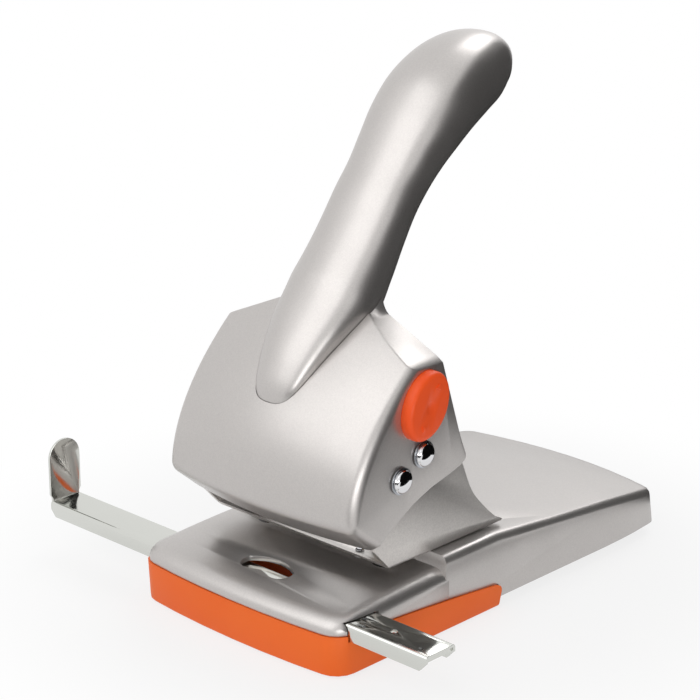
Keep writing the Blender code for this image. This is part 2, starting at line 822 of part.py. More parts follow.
def tray_ring(inset, height):
    sides = spread(0, TRAY_REAR - TRAY_REAR_ROUND, 8)
    sides += [TRAY_REAR - TRAY_REAR_ROUND * share for share in TRAY_STATION_SHARES]
    half = front_half_plan(
        BASE_HALF_WIDTH + TRAY_OVERHANG,
        BASE_FRONT + TRAY_OVERHANG,
        BASE_FRONT_BOW,
        BASE_FRONT_CORNER + TRAY_OVERHANG,
        inset,
        sides,
    )
    heights = [height(y) for _, y in half]
    rear = TRAY_REAR - inset
    half = [(x, min(y, rear - (TRAY_REAR - y) / 2)) if y > TRAY_REAR / 2 else (x, y) for x, y in half]
    return symmetric_ring(half, heights)


def make_chip_tray():
    """The tray under the front of the base. It opens about its rear hinge."""
    floor = TRAY_BOTTOM + TRAY_FLOOR
    rings = [
        tray_ring(TRAY_WALL + TRAY_INNER_DRAFT, lambda y: floor),
        tray_ring(TRAY_WALL, tray_seam),
        tray_ring(0, tray_seam),
        tray_ring(TRAY_DRAFT, lambda y: TRAY_BOTTOM + TRAY_FOOT_ROUND),
        tray_ring(TRAY_DRAFT + TRAY_FOOT_ROUND / 4, lambda y: TRAY_BOTTOM + TRAY_FOOT_ROUND / 4),
        tray_ring(TRAY_DRAFT + TRAY_FOOT_ROUND, lambda y: TRAY_BOTTOM),
    ]
    tray = loft("chip_tray", rings, ORANGE, mirrored_caps=True)
    wide = BASE_HALF_WIDTH + OVERRUN
    tunnel = BAR_HALF_WIDTH + SLIDE_GAP
    notch = BAR_TOP - BAR_DEPTH - SLIDE_GAP
    high = TRAY_SEAM_HEIGHT + OVERRUN
    cut(tray, box("tray_notch", (-wide, -tunnel, notch), (wide, tunnel, high)))
    for word, sign in SIDES.items():
        near, far = sorted(sign * (HINGE_LUG_INNER + n * HINGE_LUG_THICKNESS) for n in (0, 1))
        lug = circle_points((HINGE_Y, HINGE_Z), HINGE_LUG_ROUND, 6, -math.pi / 2, math.pi)
        root = TRAY_REAR - TRAY_WALL / 2
        lug += [(root, HINGE_Z + HINGE_LUG_ROUND), (root, HINGE_Z - HINGE_LUG_ROUND)]
        join(tray, prism(f"tray_lug_{word}", lug, "YZ", near, far))
        hole = HINGE_PIN_RADIUS + GAP
        start = (near - OVERRUN, HINGE_Y, HINGE_Z)
        end = (far + OVERRUN, HINGE_Y, HINGE_Z)
        cut(tray, rod(f"tray_lug_bore_{word}", hole, start, end, steps=SMALL_STEPS))
    for name, x, y, _ in foot_places():
        if name.startswith("front"):
            hole = FOOT_STEM_RADIUS + GAP
            end = (x, y, floor + OVERRUN)
            cut(tray, rod(f"tray_bore_{name}", hole, (x, y, 0), end, steps=FOOT_HOLE_STEPS))
    return tray


def make_hinge_pins():
    for word, sign in SIDES.items():
        length = 2 * HINGE_LUG_THICKNESS + 3 * GAP
        profile = [
            (0, length + GAP),
            (HINGE_PIN_RADIUS, length + GAP),
            (HINGE_PIN_RADIUS, -GAP),
            (HINGE_HEAD_RADIUS, -GAP),
            (HINGE_HEAD_RADIUS, -HINGE_HEAD),
            (0, -HINGE_HEAD),
        ]
        place = (sign * HINGE_LUG_INNER, HINGE_Y, HINGE_Z)
        turned(f"tray_hinge_pin_{word}", profile, ZINC, place, TURN_AXES[word], SMALL_STEPS)


def make_feet():
    """A rubber foot has a disc on the table and a stem pressed up into its hole."""
    for name, x, y, seat in foot_places():
        disc = seat - GAP
        front = name.startswith("front")
        stem = TRAY_FLOOR + FOOT_STEM_RADIUS / 2 if front else FOOT_STEM_LENGTH
        profile = [
            (0, disc + stem),
            (FOOT_STEM_RADIUS, disc + stem),
            (FOOT_STEM_RADIUS, disc),
            (FOOT_RADIUS, disc),
            (FOOT_RADIUS, disc / 3),
            (FOOT_RADIUS - disc / 3, 0),
            (0, 0),
        ]
        turned(name, profile, RUBBER, (x, y, 0), steps=SMALL_STEPS)


def channel_outline(half_width, top, depth, sheet, bend):
    """A U-shaped sheet section, open below, given as (across, up) points."""
    low = top - depth
    outer = rounded(
        [(half_width, low), (half_width, top), (-half_width, top), (-half_width, low)],
        (0, bend, bend, 0),
        closed=False,
        steps=4,
    )
    inner_half = half_width - sheet
    inner_top = top - sheet
    inner = [(-inner_half, low), (-inner_half, inner_top), (inner_half, inner_top), (inner_half, low)]
    return outer + inner


def make_guide_bar():
    """The sliding paper guide, a bent channel with its fence turned up at the left end."""
    outline = channel_outline(BAR_HALF_WIDTH, BAR_TOP, BAR_DEPTH, BAR_SHEET, BAR_BEND)
    bar = prism("guide_bar", outline, "YZ", BAR_LEFT - BAR_SHEET / 2, BAR_RIGHT, NICKEL)
    top_radius = BAR_HALF_WIDTH
    shoulder = BAR_TOP - BAR_SHEET / 2
    fence_outline = [
        (-BAR_HALF_WIDTH, shoulder + FENCE_NOTCH),
        (FENCE_NECK - BAR_HALF_WIDTH, shoulder + FENCE_NOTCH / 2),
        (FENCE_NECK - BAR_HALF_WIDTH, shoulder),
        (BAR_HALF_WIDTH - FENCE_NECK, shoulder),
        (BAR_HALF_WIDTH - FENCE_NECK, shoulder + FENCE_NOTCH / 2),
        (BAR_HALF_WIDTH, shoulder + FENCE_NOTCH),
    ]
    fence_outline += circle_points((0, FENCE_TOP - top_radius), top_radius, 16, 0, math.pi)
    join(bar, prism("fence", fence_outline, "YZ", BAR_LEFT - BAR_SHEET, BAR_LEFT))
    lip = box(
        "bar_end_lip",
        (BAR_RIGHT - BAR_SHEET, BAR_BEND - BAR_HALF_WIDTH, BAR_TOP - BAR_LIP_DEPTH),
        (BAR_RIGHT - GAP, BAR_HALF_WIDTH - BAR_BEND, BAR_TOP - BAR_SHEET / 2),
    )
    join(bar, lip)
    start = (BAR_HOLE_X, 0, BAR_TOP - OVERRUN)
    cut(bar, rod("bar_hole", BAR_HOLE_RADIUS, start, (BAR_HOLE_X, 0, BAR_TOP + OVERRUN), steps=SMALL_STEPS))
    low = BAR_TOP - BAR_DEPTH
    for word, sign in SIDES.items():
        end = BAR_RIGHT if sign > 0 else BAR_LEFT - BAR_SHEET
        back = end - sign * BAR_END_CHAMFER * 2
        out = end + sign * OVERRUN
        high = low + 2 * BAR_END_CHAMFER
        corner = [(back, low - GAP), (out, low - GAP), (out, high), (end, high)]
        wide = BAR_HALF_WIDTH + OVERRUN
        cut(bar, prism(f"flange_corner_{word}", corner, "XZ", -wide, wide))
    return bar


def make_bar_saddle():
    """The moulded saddle under the guide bar, its screws and the leaf that presses on the bar."""
    top = BAR_TOP - BAR_DEPTH - GAP
    low = top - SADDLE_THICKNESS
    half = SADDLE_HALF_LENGTH
    saddle = box("bar_saddle", (-half, -SADDLE_FRONT, low), (half, SADDLE_REAR, top), NYLON)
    for word, sign in SIDES.items():
        x = sign * SADDLE_SCREW_X
        y = SADDLE_SCREW_Y
        hole = SCREW_RADIUS + GAP
        end = (x, y, top + OVERRUN)
        cut(saddle, rod(f"saddle_hole_{word}", hole, (x, y, low - OVERRUN), end, steps=SMALL_STEPS))
        length = SADDLE_THICKNESS + SCREW_LENGTH / 2
        make_screw(f"saddle_screw_{word}", (x, y, low - GAP), length, (math.pi, 0, 0))
    foot = DETENT_HALF_LENGTH
    level = top + GAP
    crest = BAR_TOP - BAR_SHEET - DETENT_SHEET - 2 * GAP
    shape = [
        (-foot, level),
        (DETENT_FOOT - foot, level),
        (-DETENT_FOOT, crest),
        (DETENT_FOOT, crest),
        (foot - DETENT_FOOT, level),
        (foot, level),
    ]
    radii = (0, DETENT_CREST, DETENT_CREST, DETENT_CREST, DETENT_CREST, 0)
    path = rounded(shape, radii, closed=False, steps=4)
    upper = offset_path(path, -DETENT_SHEET)
    half = DETENT_HALF_WIDTH
    prism("bar_leaf_spring", path + upper[::-1], "XZ", -half, half, HARD_STEEL)
    return saddle


def make_screw(name, seat, length, turn=(0, 0, 0)):
    """A pan-head screw. Its seat is under the head, and its shank runs down from there."""
    profile = [(across * SCREW_HEAD_RADIUS, up * SCREW_HEAD) for across, up in SCREW_DOME_SHARES]
    profile += [
        (SCREW_RADIUS, 0),
        (SCREW_RADIUS, SCREW_RADIUS - length),
        (SCREW_RADIUS / 2, -length),
        (0, -length),
    ]
    screw = turned(name, profile, ZINC, seat, turn, SMALL_STEPS)
    bottom = Vector(seat) + turn_vector(turn, SCREW_HEAD - SCREW_SLOT_DEPTH)
    above = Vector(seat) + turn_vector(turn, SCREW_HEAD + GAP)
    return cut(screw, rod(name + "_drive", SCREW_SLOT_RADIUS, bottom, above, steps=6))


def turn_vector(turn, height):
    """The vector that a turn gives to a height along Z."""
    tilted = Matrix.Rotation(turn[0], 3, "X") @ Vector((0, 0, height))
    return Matrix.Rotation(turn[1], 3, "Y") @ tilted


def make_dies():
    for word, sign in SIDES.items():
        top = plate_top(PUNCH_Y) - DIE_SINK
        bore = PUNCH_RADIUS + GAP / 2
        relief = bore + DIE_SINK
        low = top - DIE_HEIGHT
        flange_top = plate_top(PUNCH_Y) - BASE_WALL - 2 * GAP
        profile = [
            (DIE_RADIUS, top),
            (DIE_RADIUS, flange_top),
            (DIE_FLANGE_RADIUS, flange_top),
            (DIE_FLANGE_RADIUS, flange_top - DIE_FLANGE),
            (relief, low),
            (bore, top - DIE_HEIGHT / 2),
            (bore, top),
        ]
        turned(f"die_{word}", profile, HARD_STEEL, (sign * PUNCH_X, PUNCH_Y, 0), ring=True)


def frame_side_outline():
    """The side view of the punch frame, seen along -X, from its rear foot round to its nose."""
    rear = FRAME_FOOT_REAR
    toe = (rear - FRAME_TOE, WEB_TOP + FRAME_TOE_RISE)
    height = PIVOT_Z - WEB_TOP
    sweep = [(rear - back * height, WEB_LOW + up * height) for back, up in FRAME_SWEEP_SHARES]
    lock_rim = LOCK_HOLE_RADIUS + LOCK_HOLE_MARGIN
    lock = circle_points((LOCK_HOLE_Y, LOCK_HOLE_Z), lock_rim, 8, *FRAME_LOCK_ARC)
    ear = circle_points((PIVOT_Y, PIVOT_Z), FRAME_EAR_RADIUS, 8, *FRAME_EAR_ARC)
    outline = [(rear, WEB_LOW), (rear, WEB_TOP - FRAME_SHEET / 4), *smooth_through([toe, *sweep], 4)]
    outline += [*lock, (FRAME_WAIST_Y, FRAME_WAIST_Z), *ear]
    return outline + [(FRAME_NOSE_Y, FRAME_NOSE_Z), (FRAME_FRONT, WEB_LOW)]


def make_punch_frame():
    """A bent steel bracket: its web is screwed to the deck and its sides carry the shafts."""
    top = PIVOT_Z + LOCK_REACH + OVERRUN
    low = WEB_LOW
    outer = rounded(
        [
            (FRAME_HALF_WIDTH, top),
            (FRAME_HALF_WIDTH, low),
            (-FRAME_HALF_WIDTH, low),
            (-FRAME_HALF_WIDTH, top),
        ],
        (0, FRAME_BEND, FRAME_BEND, 0),
        closed=False,
        steps=4,
    )
    inside = FRAME_HALF_WIDTH - FRAME_SHEET
    inner = [(-inside, top), (-inside, WEB_TOP), (inside, WEB_TOP), (inside, top)]
    front = FRAME_NOSE_Y - OVERRUN
    rear = FRAME_FOOT_REAR + OVERRUN
    frame = prism("punch_frame", outer + inner, "XZ", front, rear, SATIN_STEEL)
    wide = FRAME_HALF_WIDTH + OVERRUN
    outline = frame_side_outline()
    boolean(frame, prism("frame_side_view", outline, "YZ", -wide, wide), "INTERSECT")
    hole = SHAFT_RADIUS + GAP
    cut(frame, rod("pivot_bore", hole, (-wide, PIVOT_Y, PIVOT_Z), (wide, PIVOT_Y, PIVOT_Z)))
    start = (0, LOCK_HOLE_Y, LOCK_HOLE_Z)
    end = (wide, LOCK_HOLE_Y, LOCK_HOLE_Z)
    cut(frame, rod("lock_bore", LOCK_HOLE_RADIUS, start, end, steps=SMALL_STEPS))
    slot_half = SHAFT_RADIUS + SLIDE_GAP
    pivot = (PIVOT_Y, PIVOT_Z)
    end_angle = PRESS_ANGLE - LEVER_SWING
    outer_arc = circle_points(pivot, PRESS_THROW + slot_half, 8, end_angle, LEVER_SWING)
    inner_arc = circle_points(pivot, PRESS_THROW - slot_half, 8, PRESS_ANGLE, -LEVER_SWING)
    top_end = circle_points((PRESS_Y, PRESS_Z), slot_half, 8, PRESS_ANGLE, math.pi)
    low_centre = (
        PIVOT_Y + PRESS_THROW * math.cos(end_angle),
        PIVOT_Z + PRESS_THROW * math.sin(end_angle),
    )
    low_end = circle_points(low_centre, slot_half, 8, end_angle + math.pi, math.pi)
    slot = outer_arc[:-1] + top_end[:-1] + inner_arc[:-1] + low_end[:-1]
    cut(frame, prism("press_slot", slot, "YZ", -wide, wide))
    low = WEB_LOW - OVERRUN
    top = WEB_TOP + OVERRUN
    for word, sign in SIDES.items():
        holes = [("bush", PUNCH_X, PUNCH_Y, BUSH_SPIGOT_RADIUS + GAP)]
        holes.append(("rivet", FRAME_RIVET_X, FRAME_RIVET_Y, RIVET_RADIUS + GAP))
        for y in FRAME_SCREW_YS:
            holes.append(("screw", FRAME_SCREW_X, y, SCREW_RADIUS + 2 * GAP))
        for name, x, y, radius in holes:
            start = (sign * x, y, low)
            cut(frame, rod(f"frame_{name}_hole_{word}", radius, start, (sign * x, y, top)))
    return frame


def make_frame_fixings():
    for word, sign in SIDES.items():
        for row, y in zip(("front", "rear"), FRAME_SCREW_YS):
            seat = (sign * FRAME_SCREW_X, y, WEB_TOP + GAP)
            make_screw(f"frame_screw_{row}_{word}", seat, SCREW_LENGTH)
        low = WEB_LOW - GAP
        top = WEB_TOP + GAP
        profile = [
            (0, top + RIVET_HEAD),
            (RIVET_HEAD_RADIUS * RIVET_CROWN_SHARE, top + RIVET_HEAD),
            (RIVET_HEAD_RADIUS, top + RIVET_HEAD / 3),
            (RIVET_HEAD_RADIUS, top),
            (RIVET_RADIUS, top),
            (RIVET_RADIUS, low),
            (RIVET_HEAD_RADIUS, low),
            (RIVET_HEAD_RADIUS, low - RIVET_HEAD / 3),
            (RIVET_HEAD_RADIUS * RIVET_CROWN_SHARE, low - RIVET_HEAD),
            (0, low - RIVET_HEAD),
        ]
        place = (sign * FRAME_RIVET_X, FRAME_RIVET_Y, 0)
        turned(f"frame_rivet_{word}", profile, CHROME, place, steps=SMALL_STEPS)


def coil(name, centre_low, height, mean_radius, wire, turns, look, axis_turn=(0, 0, 0)):
    """A closed-end spring as one unbroken tube. Prints its least gap between neighbouring curls."""
    dead = DEAD_TURNS
    count = turns * CURL_POINTS
    rise = height - wire
    dead_rise = wire + CURL_GAP
    points = []
    for i in range(count + 1):
        turn = i / CURL_POINTS
        live = min(max(turn - dead, 0), turns - 2 * dead) / (turns - 2 * dead)
        before = min(turn, dead) * dead_rise
        after = max(turn - (turns - dead), 0) * dead_rise
        up = wire / 2 + before + after + (rise - 2 * dead_rise * dead) * live
        angle = math.tau * turn
        points.append((mean_radius * math.cos(angle), mean_radius * math.sin(angle), up))
    least = min(
        (Vector(points[i]) - Vector(points[j])).length
        for i in range(len(points))
        for j in range(i + CURL_POINTS // 2 + 1, len(points))
    )
    print(f"{name}: least gap between curls {(least - wire) * 1000:.2f} mm")
    curve = bpy.data.curves.new(name, "CURVE")
    curve.dimensions = "3D"
    curve.bevel_depth = wire / 2
    curve.bevel_resolution = 1
    curve.use_fill_caps = True
    spline = curve.splines.new("POLY")
    spline.points.add(len(points) - 1)
    for point, place in zip(spline.points, points):
        point.co = (*place, 1)
    guide = bpy.data.objects.new(name + "_path", curve)
    bpy.context.scene.collection.objects.link(guide)
    mesh = evaluated_copy(guide)
    bpy.data.objects.remove(guide, do_unlink=True)
    bm = bmesh.new()
    bm.from_mesh(mesh)
    bpy.data.meshes.remove(mesh)
    bmesh.ops.remove_doubles(bm, verts=bm.verts, dist=MERGE)
    obj = add(name, finished_mesh(name, bm), look)
    obj.location = centre_low
    obj.rotation_euler = axis_turn
    return obj


def make_punch_sets():
    """Each punch with its guide bush, its collar and its return spring."""
    for word, sign in SIDES.items():
        place = (sign * PUNCH_X, PUNCH_Y, 0)
        bore = PUNCH_RADIUS + GAP
        bush = [
            (BUSH_RADIUS - BUSH_CHAMFER, BUSH_TOP),
            (BUSH_RADIUS, BUSH_TOP - BUSH_CHAMFER),
            (BUSH_RADIUS, WEB_TOP + GAP),
            (BUSH_SPIGOT_RADIUS, WEB_TOP + GAP),
            (BUSH_SPIGOT_RADIUS, WEB_LOW + GAP),
            (bore, WEB_LOW + GAP),
            (bore, BUSH_TOP),
        ]
        turned(f"guide_bush_{word}", bush, BRONZE, place, ring=True)
        punch = [
            (0, PUNCH_TOP),
            (PUNCH_HEAD_RADIUS * PUNCH_CROWN_SHARE, PUNCH_TOP),
            (PUNCH_HEAD_RADIUS, PUNCH_TOP - PUNCH_HEAD / 3),
            (PUNCH_HEAD_RADIUS, PUNCH_TOP - PUNCH_HEAD),
            (PUNCH_RADIUS, PUNCH_TOP - PUNCH_HEAD),
            (PUNCH_RADIUS, PUNCH_TIP),
            (0, PUNCH_TIP + PUNCH_RELIEF),
        ]
        turned(f"punch_{word}", punch, HARD_STEEL, place)
        top = PUNCH_TOP - PUNCH_HEAD - GAP
        low = top - COLLAR_HEIGHT
        collar = [
            (COLLAR_RADIUS - BUSH_CHAMFER, top),
            (COLLAR_RADIUS, top - BUSH_CHAMFER),
            (COLLAR_RADIUS, low),
            (bore, low),
            (bore, top),
        ]
        turned(f"punch_collar_{word}", collar, ZINC, place, ring=True)
        start = BUSH_TOP + GAP
        height = low - GAP - start
        coil(
            f"return_spring_{word}",
            (place[0], place[1], start),
            height,
            SPRING_MEAN_RADIUS,
            SPRING_WIRE,
            SPRING_TURNS,
            HARD_STEEL,
        )


def make_shaft(name, y, z):
    """A through shaft with a reduced end on each side for its washer and cap."""
    shoulder = HOOD_HALF_WIDTH + GAP
    end = shoulder + WASHER_THICKNESS + SHAFT_END
    profile = [
        (0, end),
        (SHAFT_END_RADIUS, end),
        (SHAFT_END_RADIUS, shoulder),
        (SHAFT_RADIUS, shoulder),
        (SHAFT_RADIUS, -shoulder),
        (SHAFT_END_RADIUS, -shoulder),
        (SHAFT_END_RADIUS, -end),
        (0, -end),
    ]
    return turned(name, profile, HARD_STEEL, (0, y, z), TURN_AXES["right"])


def make_shaft_ends(stem, y, z):
    """The washer and the push-on domed cap at each end of a shaft."""
    objects = []
    seat = HOOD_HALF_WIDTH + 2 * GAP
    for word, sign in SIDES.items():
        bore = SHAFT_END_RADIUS + GAP
        washer = [
            (WASHER_RADIUS, WASHER_THICKNESS),
            (WASHER_RADIUS, 0),
            (bore, 0),
            (bore, WASHER_THICKNESS),
        ]
        place = (sign * seat, y, z)
        objects.append(turned(f"{stem}_washer_{word}", washer, ZINC, place, TURN_AXES[word], ring=True))
        start = WASHER_THICKNESS + GAP
        dome = [(CAP_RADIUS * math.sin(a), math.cos(a)) for a in spread(0, math.pi / 2, 5)]
        rise = CAP_HEIGHT - CAP_RIM
        cap = [(radius, start + CAP_RIM + rise * height) for radius, height in dome]
        roof = start + SHAFT_END
        cap += [(CAP_RADIUS, start), (bore, start), (bore, roof), (0, roof)]
        objects.append(turned(f"{stem}_cap_{word}", cap, CHROME, place, TURN_AXES[word]))
    return objects


def hood_face_y(z):
    """The front face in side view at the folds: a line from lip to crest, bowed forwards."""
    share = (z - HOOD_FACE_Z) / (HOOD_CREST_Z - HOOD_FACE_Z)
    line = HOOD_FACE_Y + (HOOD_CREST_Y - HOOD_FACE_Y) * share
    return line - HOOD_FACE_BOW * 4 * share * (1 - share)


def hood_crown(x, z):
    """How far the front stands ahead of the folds, most in the middle."""
    share = (z - HOOD_FACE_Z) / (HOOD_CREST_Z - HOOD_FACE_Z) / HOOD_CROWN_FULL_SHARE
    share = min(max(share, 0), 1)
    depth = HOOD_LIP_CROWN + (HOOD_CROWN - HOOD_LIP_CROWN) * share
    return depth * (1 - (x / HOOD_HALF_WIDTH) ** 2)


def hood_path(x, inset):
    """The hood's skin in section at x, moved in by an inset: lip, face, crest and roof, upwards."""
    reach = min((HOOD_HALF_WIDTH - abs(x)) / (HOOD_HALF_WIDTH - HOOD_ROOF_RISE_REACH), 1)
    crest = HOOD_CREST_Z + HOOD_ROOF_RISE * reach
    face = [(hood_face_y(z) - hood_crown(x, z), z) for z in spread(HOOD_FACE_Z, crest, 9)]
    lip = (HOOD_LIP_Y - hood_crown(x, HOOD_LIP_Z), HOOD_LIP_Z)
    skin = offset_path([lip, *face], inset)
    crest -= inset * HOOD_ROOF_FOLD_SHARE
    last = Vector(skin[-1])
    climb = (last - Vector(skin[-2])).normalized()
    skin[-1] = tuple(last + climb * ((crest - last.y) / climb.y))
    roof = (HOOD_REAR_LOW_Y + OVERRUN, crest)
    path = [*skin, roof]
    lip_round = HOOD_LIP_ROUND**2 / (HOOD_LIP_ROUND + inset)
    crest_round = HOOD_CREST_ROUND**2 / (HOOD_CREST_ROUND + inset)
    radii = [0, lip_round] + [0] * (len(face) - 2) + [crest_round, 0]
    return rounded(path, radii, closed=False, steps=4)


def hood_stations(wall):
    """The (x, inset) of each section, close together round the side folds."""
    half = HOOD_HALF_WIDTH - wall
    fold = HOOD_FOLD - wall
    right = [
        (half - fold * (1 - math.sin(a)), fold * (1 - math.cos(a)))
        for a in spread(0, math.pi / 2, 5)
    ]
    middle = [HOOD_HALF_WIDTH * share for share in HOOD_STATION_SHARES]
    inner = [(x, 0) for x in (0, HOOD_ROOF_RISE_REACH / 2, HOOD_ROOF_RISE_REACH, *middle)]
    half_list = inner + right
    return [(-x, inset) for x, inset in half_list[:0:-1]] + half_list


def rear_wall_y(z):
    """The rear face of the hood's wall above its opening, in side view."""
    share = (z - HOOD_REAR_MID_Z) / (HOOD_CREST_Z - HOOD_REAR_MID_Z)
    return HOOD_REAR_MID_Y + (HOOD_REAR_TOP_Y - HOOD_REAR_MID_Y) * min(share, 1)


def hood_outside():
    rings = []
    for x, inset in hood_stations(0):
        path = hood_path(x, inset)
        back = HOOD_REAR_LOW_Y + OVERRUN
        rings.append([(x, y, z) for y, z in path] + [(x, back, HOOD_LIP_Z + inset)])
    return loft("lever_hood", rings, SILVER)


def hood_inside():
    rings = []
    wall = HOOD_WALL
    low = HOOD_LIP_Z - OVERRUN
    back = HOOD_REAR_LOW_Y + 2 * OVERRUN
    for x, inset in hood_stations(wall):
        path = hood_path(x, inset + wall)
        first = Vector(path[0])
        run = (first - Vector(path[1])).normalized()
        start = first + run * (OVERRUN / 2)
        crest = path[-1][1]
        ring = [(start.x, low), tuple(start), *path[:-1]]
        ring += [
            (rear_wall_y(crest) - wall, crest),
            (rear_wall_y(HOOD_CREST_Z) - wall, min(crest, HOOD_CREST_Z) - wall),
            (rear_wall_y(HOOD_REAR_WALL_LOW) - wall, HOOD_REAR_WALL_LOW),
            (back, HOOD_REAR_WALL_LOW),
            (back, low),
        ]
        rings.append([(x, y, z) for y, z in ring])
    return loft("hood_inside", rings)


def hood_side_view():
    """The hood's outline seen along -X, which trims its lower edges and its back."""
    across = HOOD_SIDE_EDGE_Y - HOOD_LIP_Y
    rise = HOOD_SIDE_EDGE_Z - HOOD_LIP_Z
    edge = [(HOOD_LIP_Y + y * across, HOOD_LIP_Z + z * rise) for y, z in HOOD_LOWER_EDGE_SHARES]
    end = (HOOD_SIDE_EDGE_Y, HOOD_SIDE_EDGE_Z)
    lower = smooth_through([(HOOD_LIP_Y + HOOD_WALL, HOOD_LIP_Z), *edge, end], 4)
    front = HOOD_FACE_Y - HOOD_CROWN - OVERRUN
    top = HOOD_CREST_Z + HOOD_ROOF_RISE + OVERRUN
    back = [(HOOD_REAR_LOW_Y, HOOD_REAR_LOW_Z), (HOOD_REAR_MID_Y, HOOD_REAR_MID_Z)]
    corner = rounded([end, *back], (0, HOOD_CORNER_CUT, 0), closed=False)
    rear = [(HOOD_REAR_TOP_Y, HOOD_CREST_Z), (HOOD_REAR_TOP_Y, top), (front, top)]
    outline = lower + corner[1:] + rear + [(front, HOOD_LIP_Z)]
    wide = HOOD_HALF_WIDTH + OVERRUN
    return prism("hood_side_view", outline, "YZ", -wide, wide)


HANDLE_SPINE_SHARES = (
    (-0.002, -0.005, 0.09, 0.21),
    (0.005, 0.011, 0.23, 0.40),
    (0.025, 0.040, 0.39, 0.55),
    (0.059, 0.083, 0.53, 0.67),
    (0.105, 0.139, 0.66, 0.79),
    (0.167, 0.212, 0.84, 0.92),
    (0.258, 0.283, 1.10, 1.02),
    (0.333, 0.353, 1.07, 1.03),
    (0.386, 0.444, 0.99, 0.99),
    (0.444, 0.529, 0.95, 0.97),
    (0.502, 0.600, 0.97, 0.97),
    (0.556, 0.671, 1.02, 1.01),
    (0.618, 0.743, 1.11, 1.06),
    (0.691, 0.805, 1.21, 1.08),
    (0.775, 0.852, 1.26, 1.07),
    (0.849, 0.879, 1.23, 1.01),
    (0.906, 0.890, 1.10, 0.89),
    (0.950, 0.890, 0.86, 0.71),
    (0.983, 0.886, 0.54, 0.45),
    (1.000, 0.885, 0.16, 0.14),
)


def handle_rings(grow):
    """Sections square to the handle's spine, each a soft rectangle."""
    across = HANDLE_END_Y - HANDLE_TONGUE_TIP_Y
    rise = HANDLE_TOP_Z - HANDLE_TONGUE_TIP_Z
    centres = [
        Vector((HANDLE_TONGUE_TIP_Y + station[0] * across, HANDLE_TONGUE_TIP_Z + station[1] * rise))
        for station in HANDLE_SPINE_SHARES
    ]
    rings = []
    for i, (centre, station) in enumerate(zip(centres, HANDLE_SPINE_SHARES)):
        ahead = centres[min(i + 1, len(centres) - 1)]
        behind = centres[max(i - 1, 0)]
        along = (ahead - behind).normalized()
        square = Vector((-along.y, along.x))
        thick = HANDLE_HALF_THICKNESS * station[2] + grow
        wide = HANDLE_HALF_WIDTH * station[3] + grow
        if grow:
            centre = centre + along * (grow if i == len(centres) - 1 else -grow if i == 0 else 0)
        ring = []
        for k in range(HANDLE_ROUND_POINTS):
            angle = math.tau * k / HANDLE_ROUND_POINTS
            power = 2 / HANDLE_SQUARENESS
            side = math.copysign(abs(math.cos(angle)) ** power, math.cos(angle))
            up = math.copysign(abs(math.sin(angle)) ** power, math.sin(angle))
            place = centre + square * (thick * up)
            ring.append((wide * side, place.x, place.y))
        rings.append(ring)
    return rings


def rear_wall_turn():
    """How far the hood's rear wall leans from the upright."""
    return math.atan2(HOOD_REAR_MID_Y - HOOD_REAR_TOP_Y, HOOD_CREST_Z - HOOD_REAR_MID_Z)


def handle_screw_places():
    for word, sign in (("left", -1), ("middle", 0), ("right", 1)):
        yield word, sign * HANDLE_SCREW_X, rear_wall_y(HANDLE_SCREW_Z), HANDLE_SCREW_Z


def make_handle():
    """The long lever handle. Its tongue is let into the hood's front and screwed from behind."""
    handle = loft("handle", handle_rings(0), SILVER)
    lean = rear_wall_turn()
    inward = Vector((0, -math.cos(lean), -math.sin(lean)))
    for word, x, y, z in handle_screw_places():
        face = Vector((x, y, z)) + inward * (HOOD_WALL + 3 * GAP)
        root = face + inward * HANDLE_BOSS_LENGTH
        join(handle, rod(f"handle_boss_{word}", HANDLE_BOSS_RADIUS, face, root, steps=SMALL_STEPS))
        hole = SCREW_RADIUS + GAP
        tap = face + inward * SCREW_LENGTH
        cut(handle, rod(f"handle_tap_{word}", hole, face - inward * GAP, tap, steps=SMALL_STEPS))
        seat = Vector((x, y, z)) - inward * GAP
        make_screw(f"handle_screw_{word}", tuple(seat), SCREW_LENGTH, (lean - math.pi / 2, 0, 0))
    return handle


def make_lever_hood():
    """The lever's die-cast hood, open below and at the lower back."""
    hood = hood_outside()
    cut(hood, hood_inside())
    boolean(hood, hood_side_view(), "INTERSECT")
    wide = HOOD_HALF_WIDTH + OVERRUN
    hole = SHAFT_RADIUS + GAP
    for word, y, z in (("pivot", PIVOT_Y, PIVOT_Z), ("press", PRESS_Y, PRESS_Z)):
        cut(hood, rod(f"hood_{word}_bore", hole, (-wide, y, z), (wide, y, z)))
    centre = (BUTTON_Y, BUTTON_Z)
    oval = oval_points(centre, BUTTON_LONG + SEAM_GAP, BUTTON_SHORT + SEAM_GAP, BUTTON_TILT, BUTTON_STEPS)
    cut(hood, prism("button_hole", oval, "YZ", HOOD_INNER - HOOD_WALL, wide))
    lean = rear_wall_turn()
    outward = Vector((0, math.cos(lean), math.sin(lean)))
    for word, x, y, z in handle_screw_places():
        middle = Vector((x, y, z))
        reach = outward * (HOOD_WALL * 2)
        hole = SCREW_RADIUS + 2 * GAP
        cut(hood, rod(f"hood_screw_hole_{word}", hole, middle - reach, middle + reach, steps=SMALL_STEPS))
    return cut(hood, loft("handle_seat", handle_rings(SEAM_GAP)))


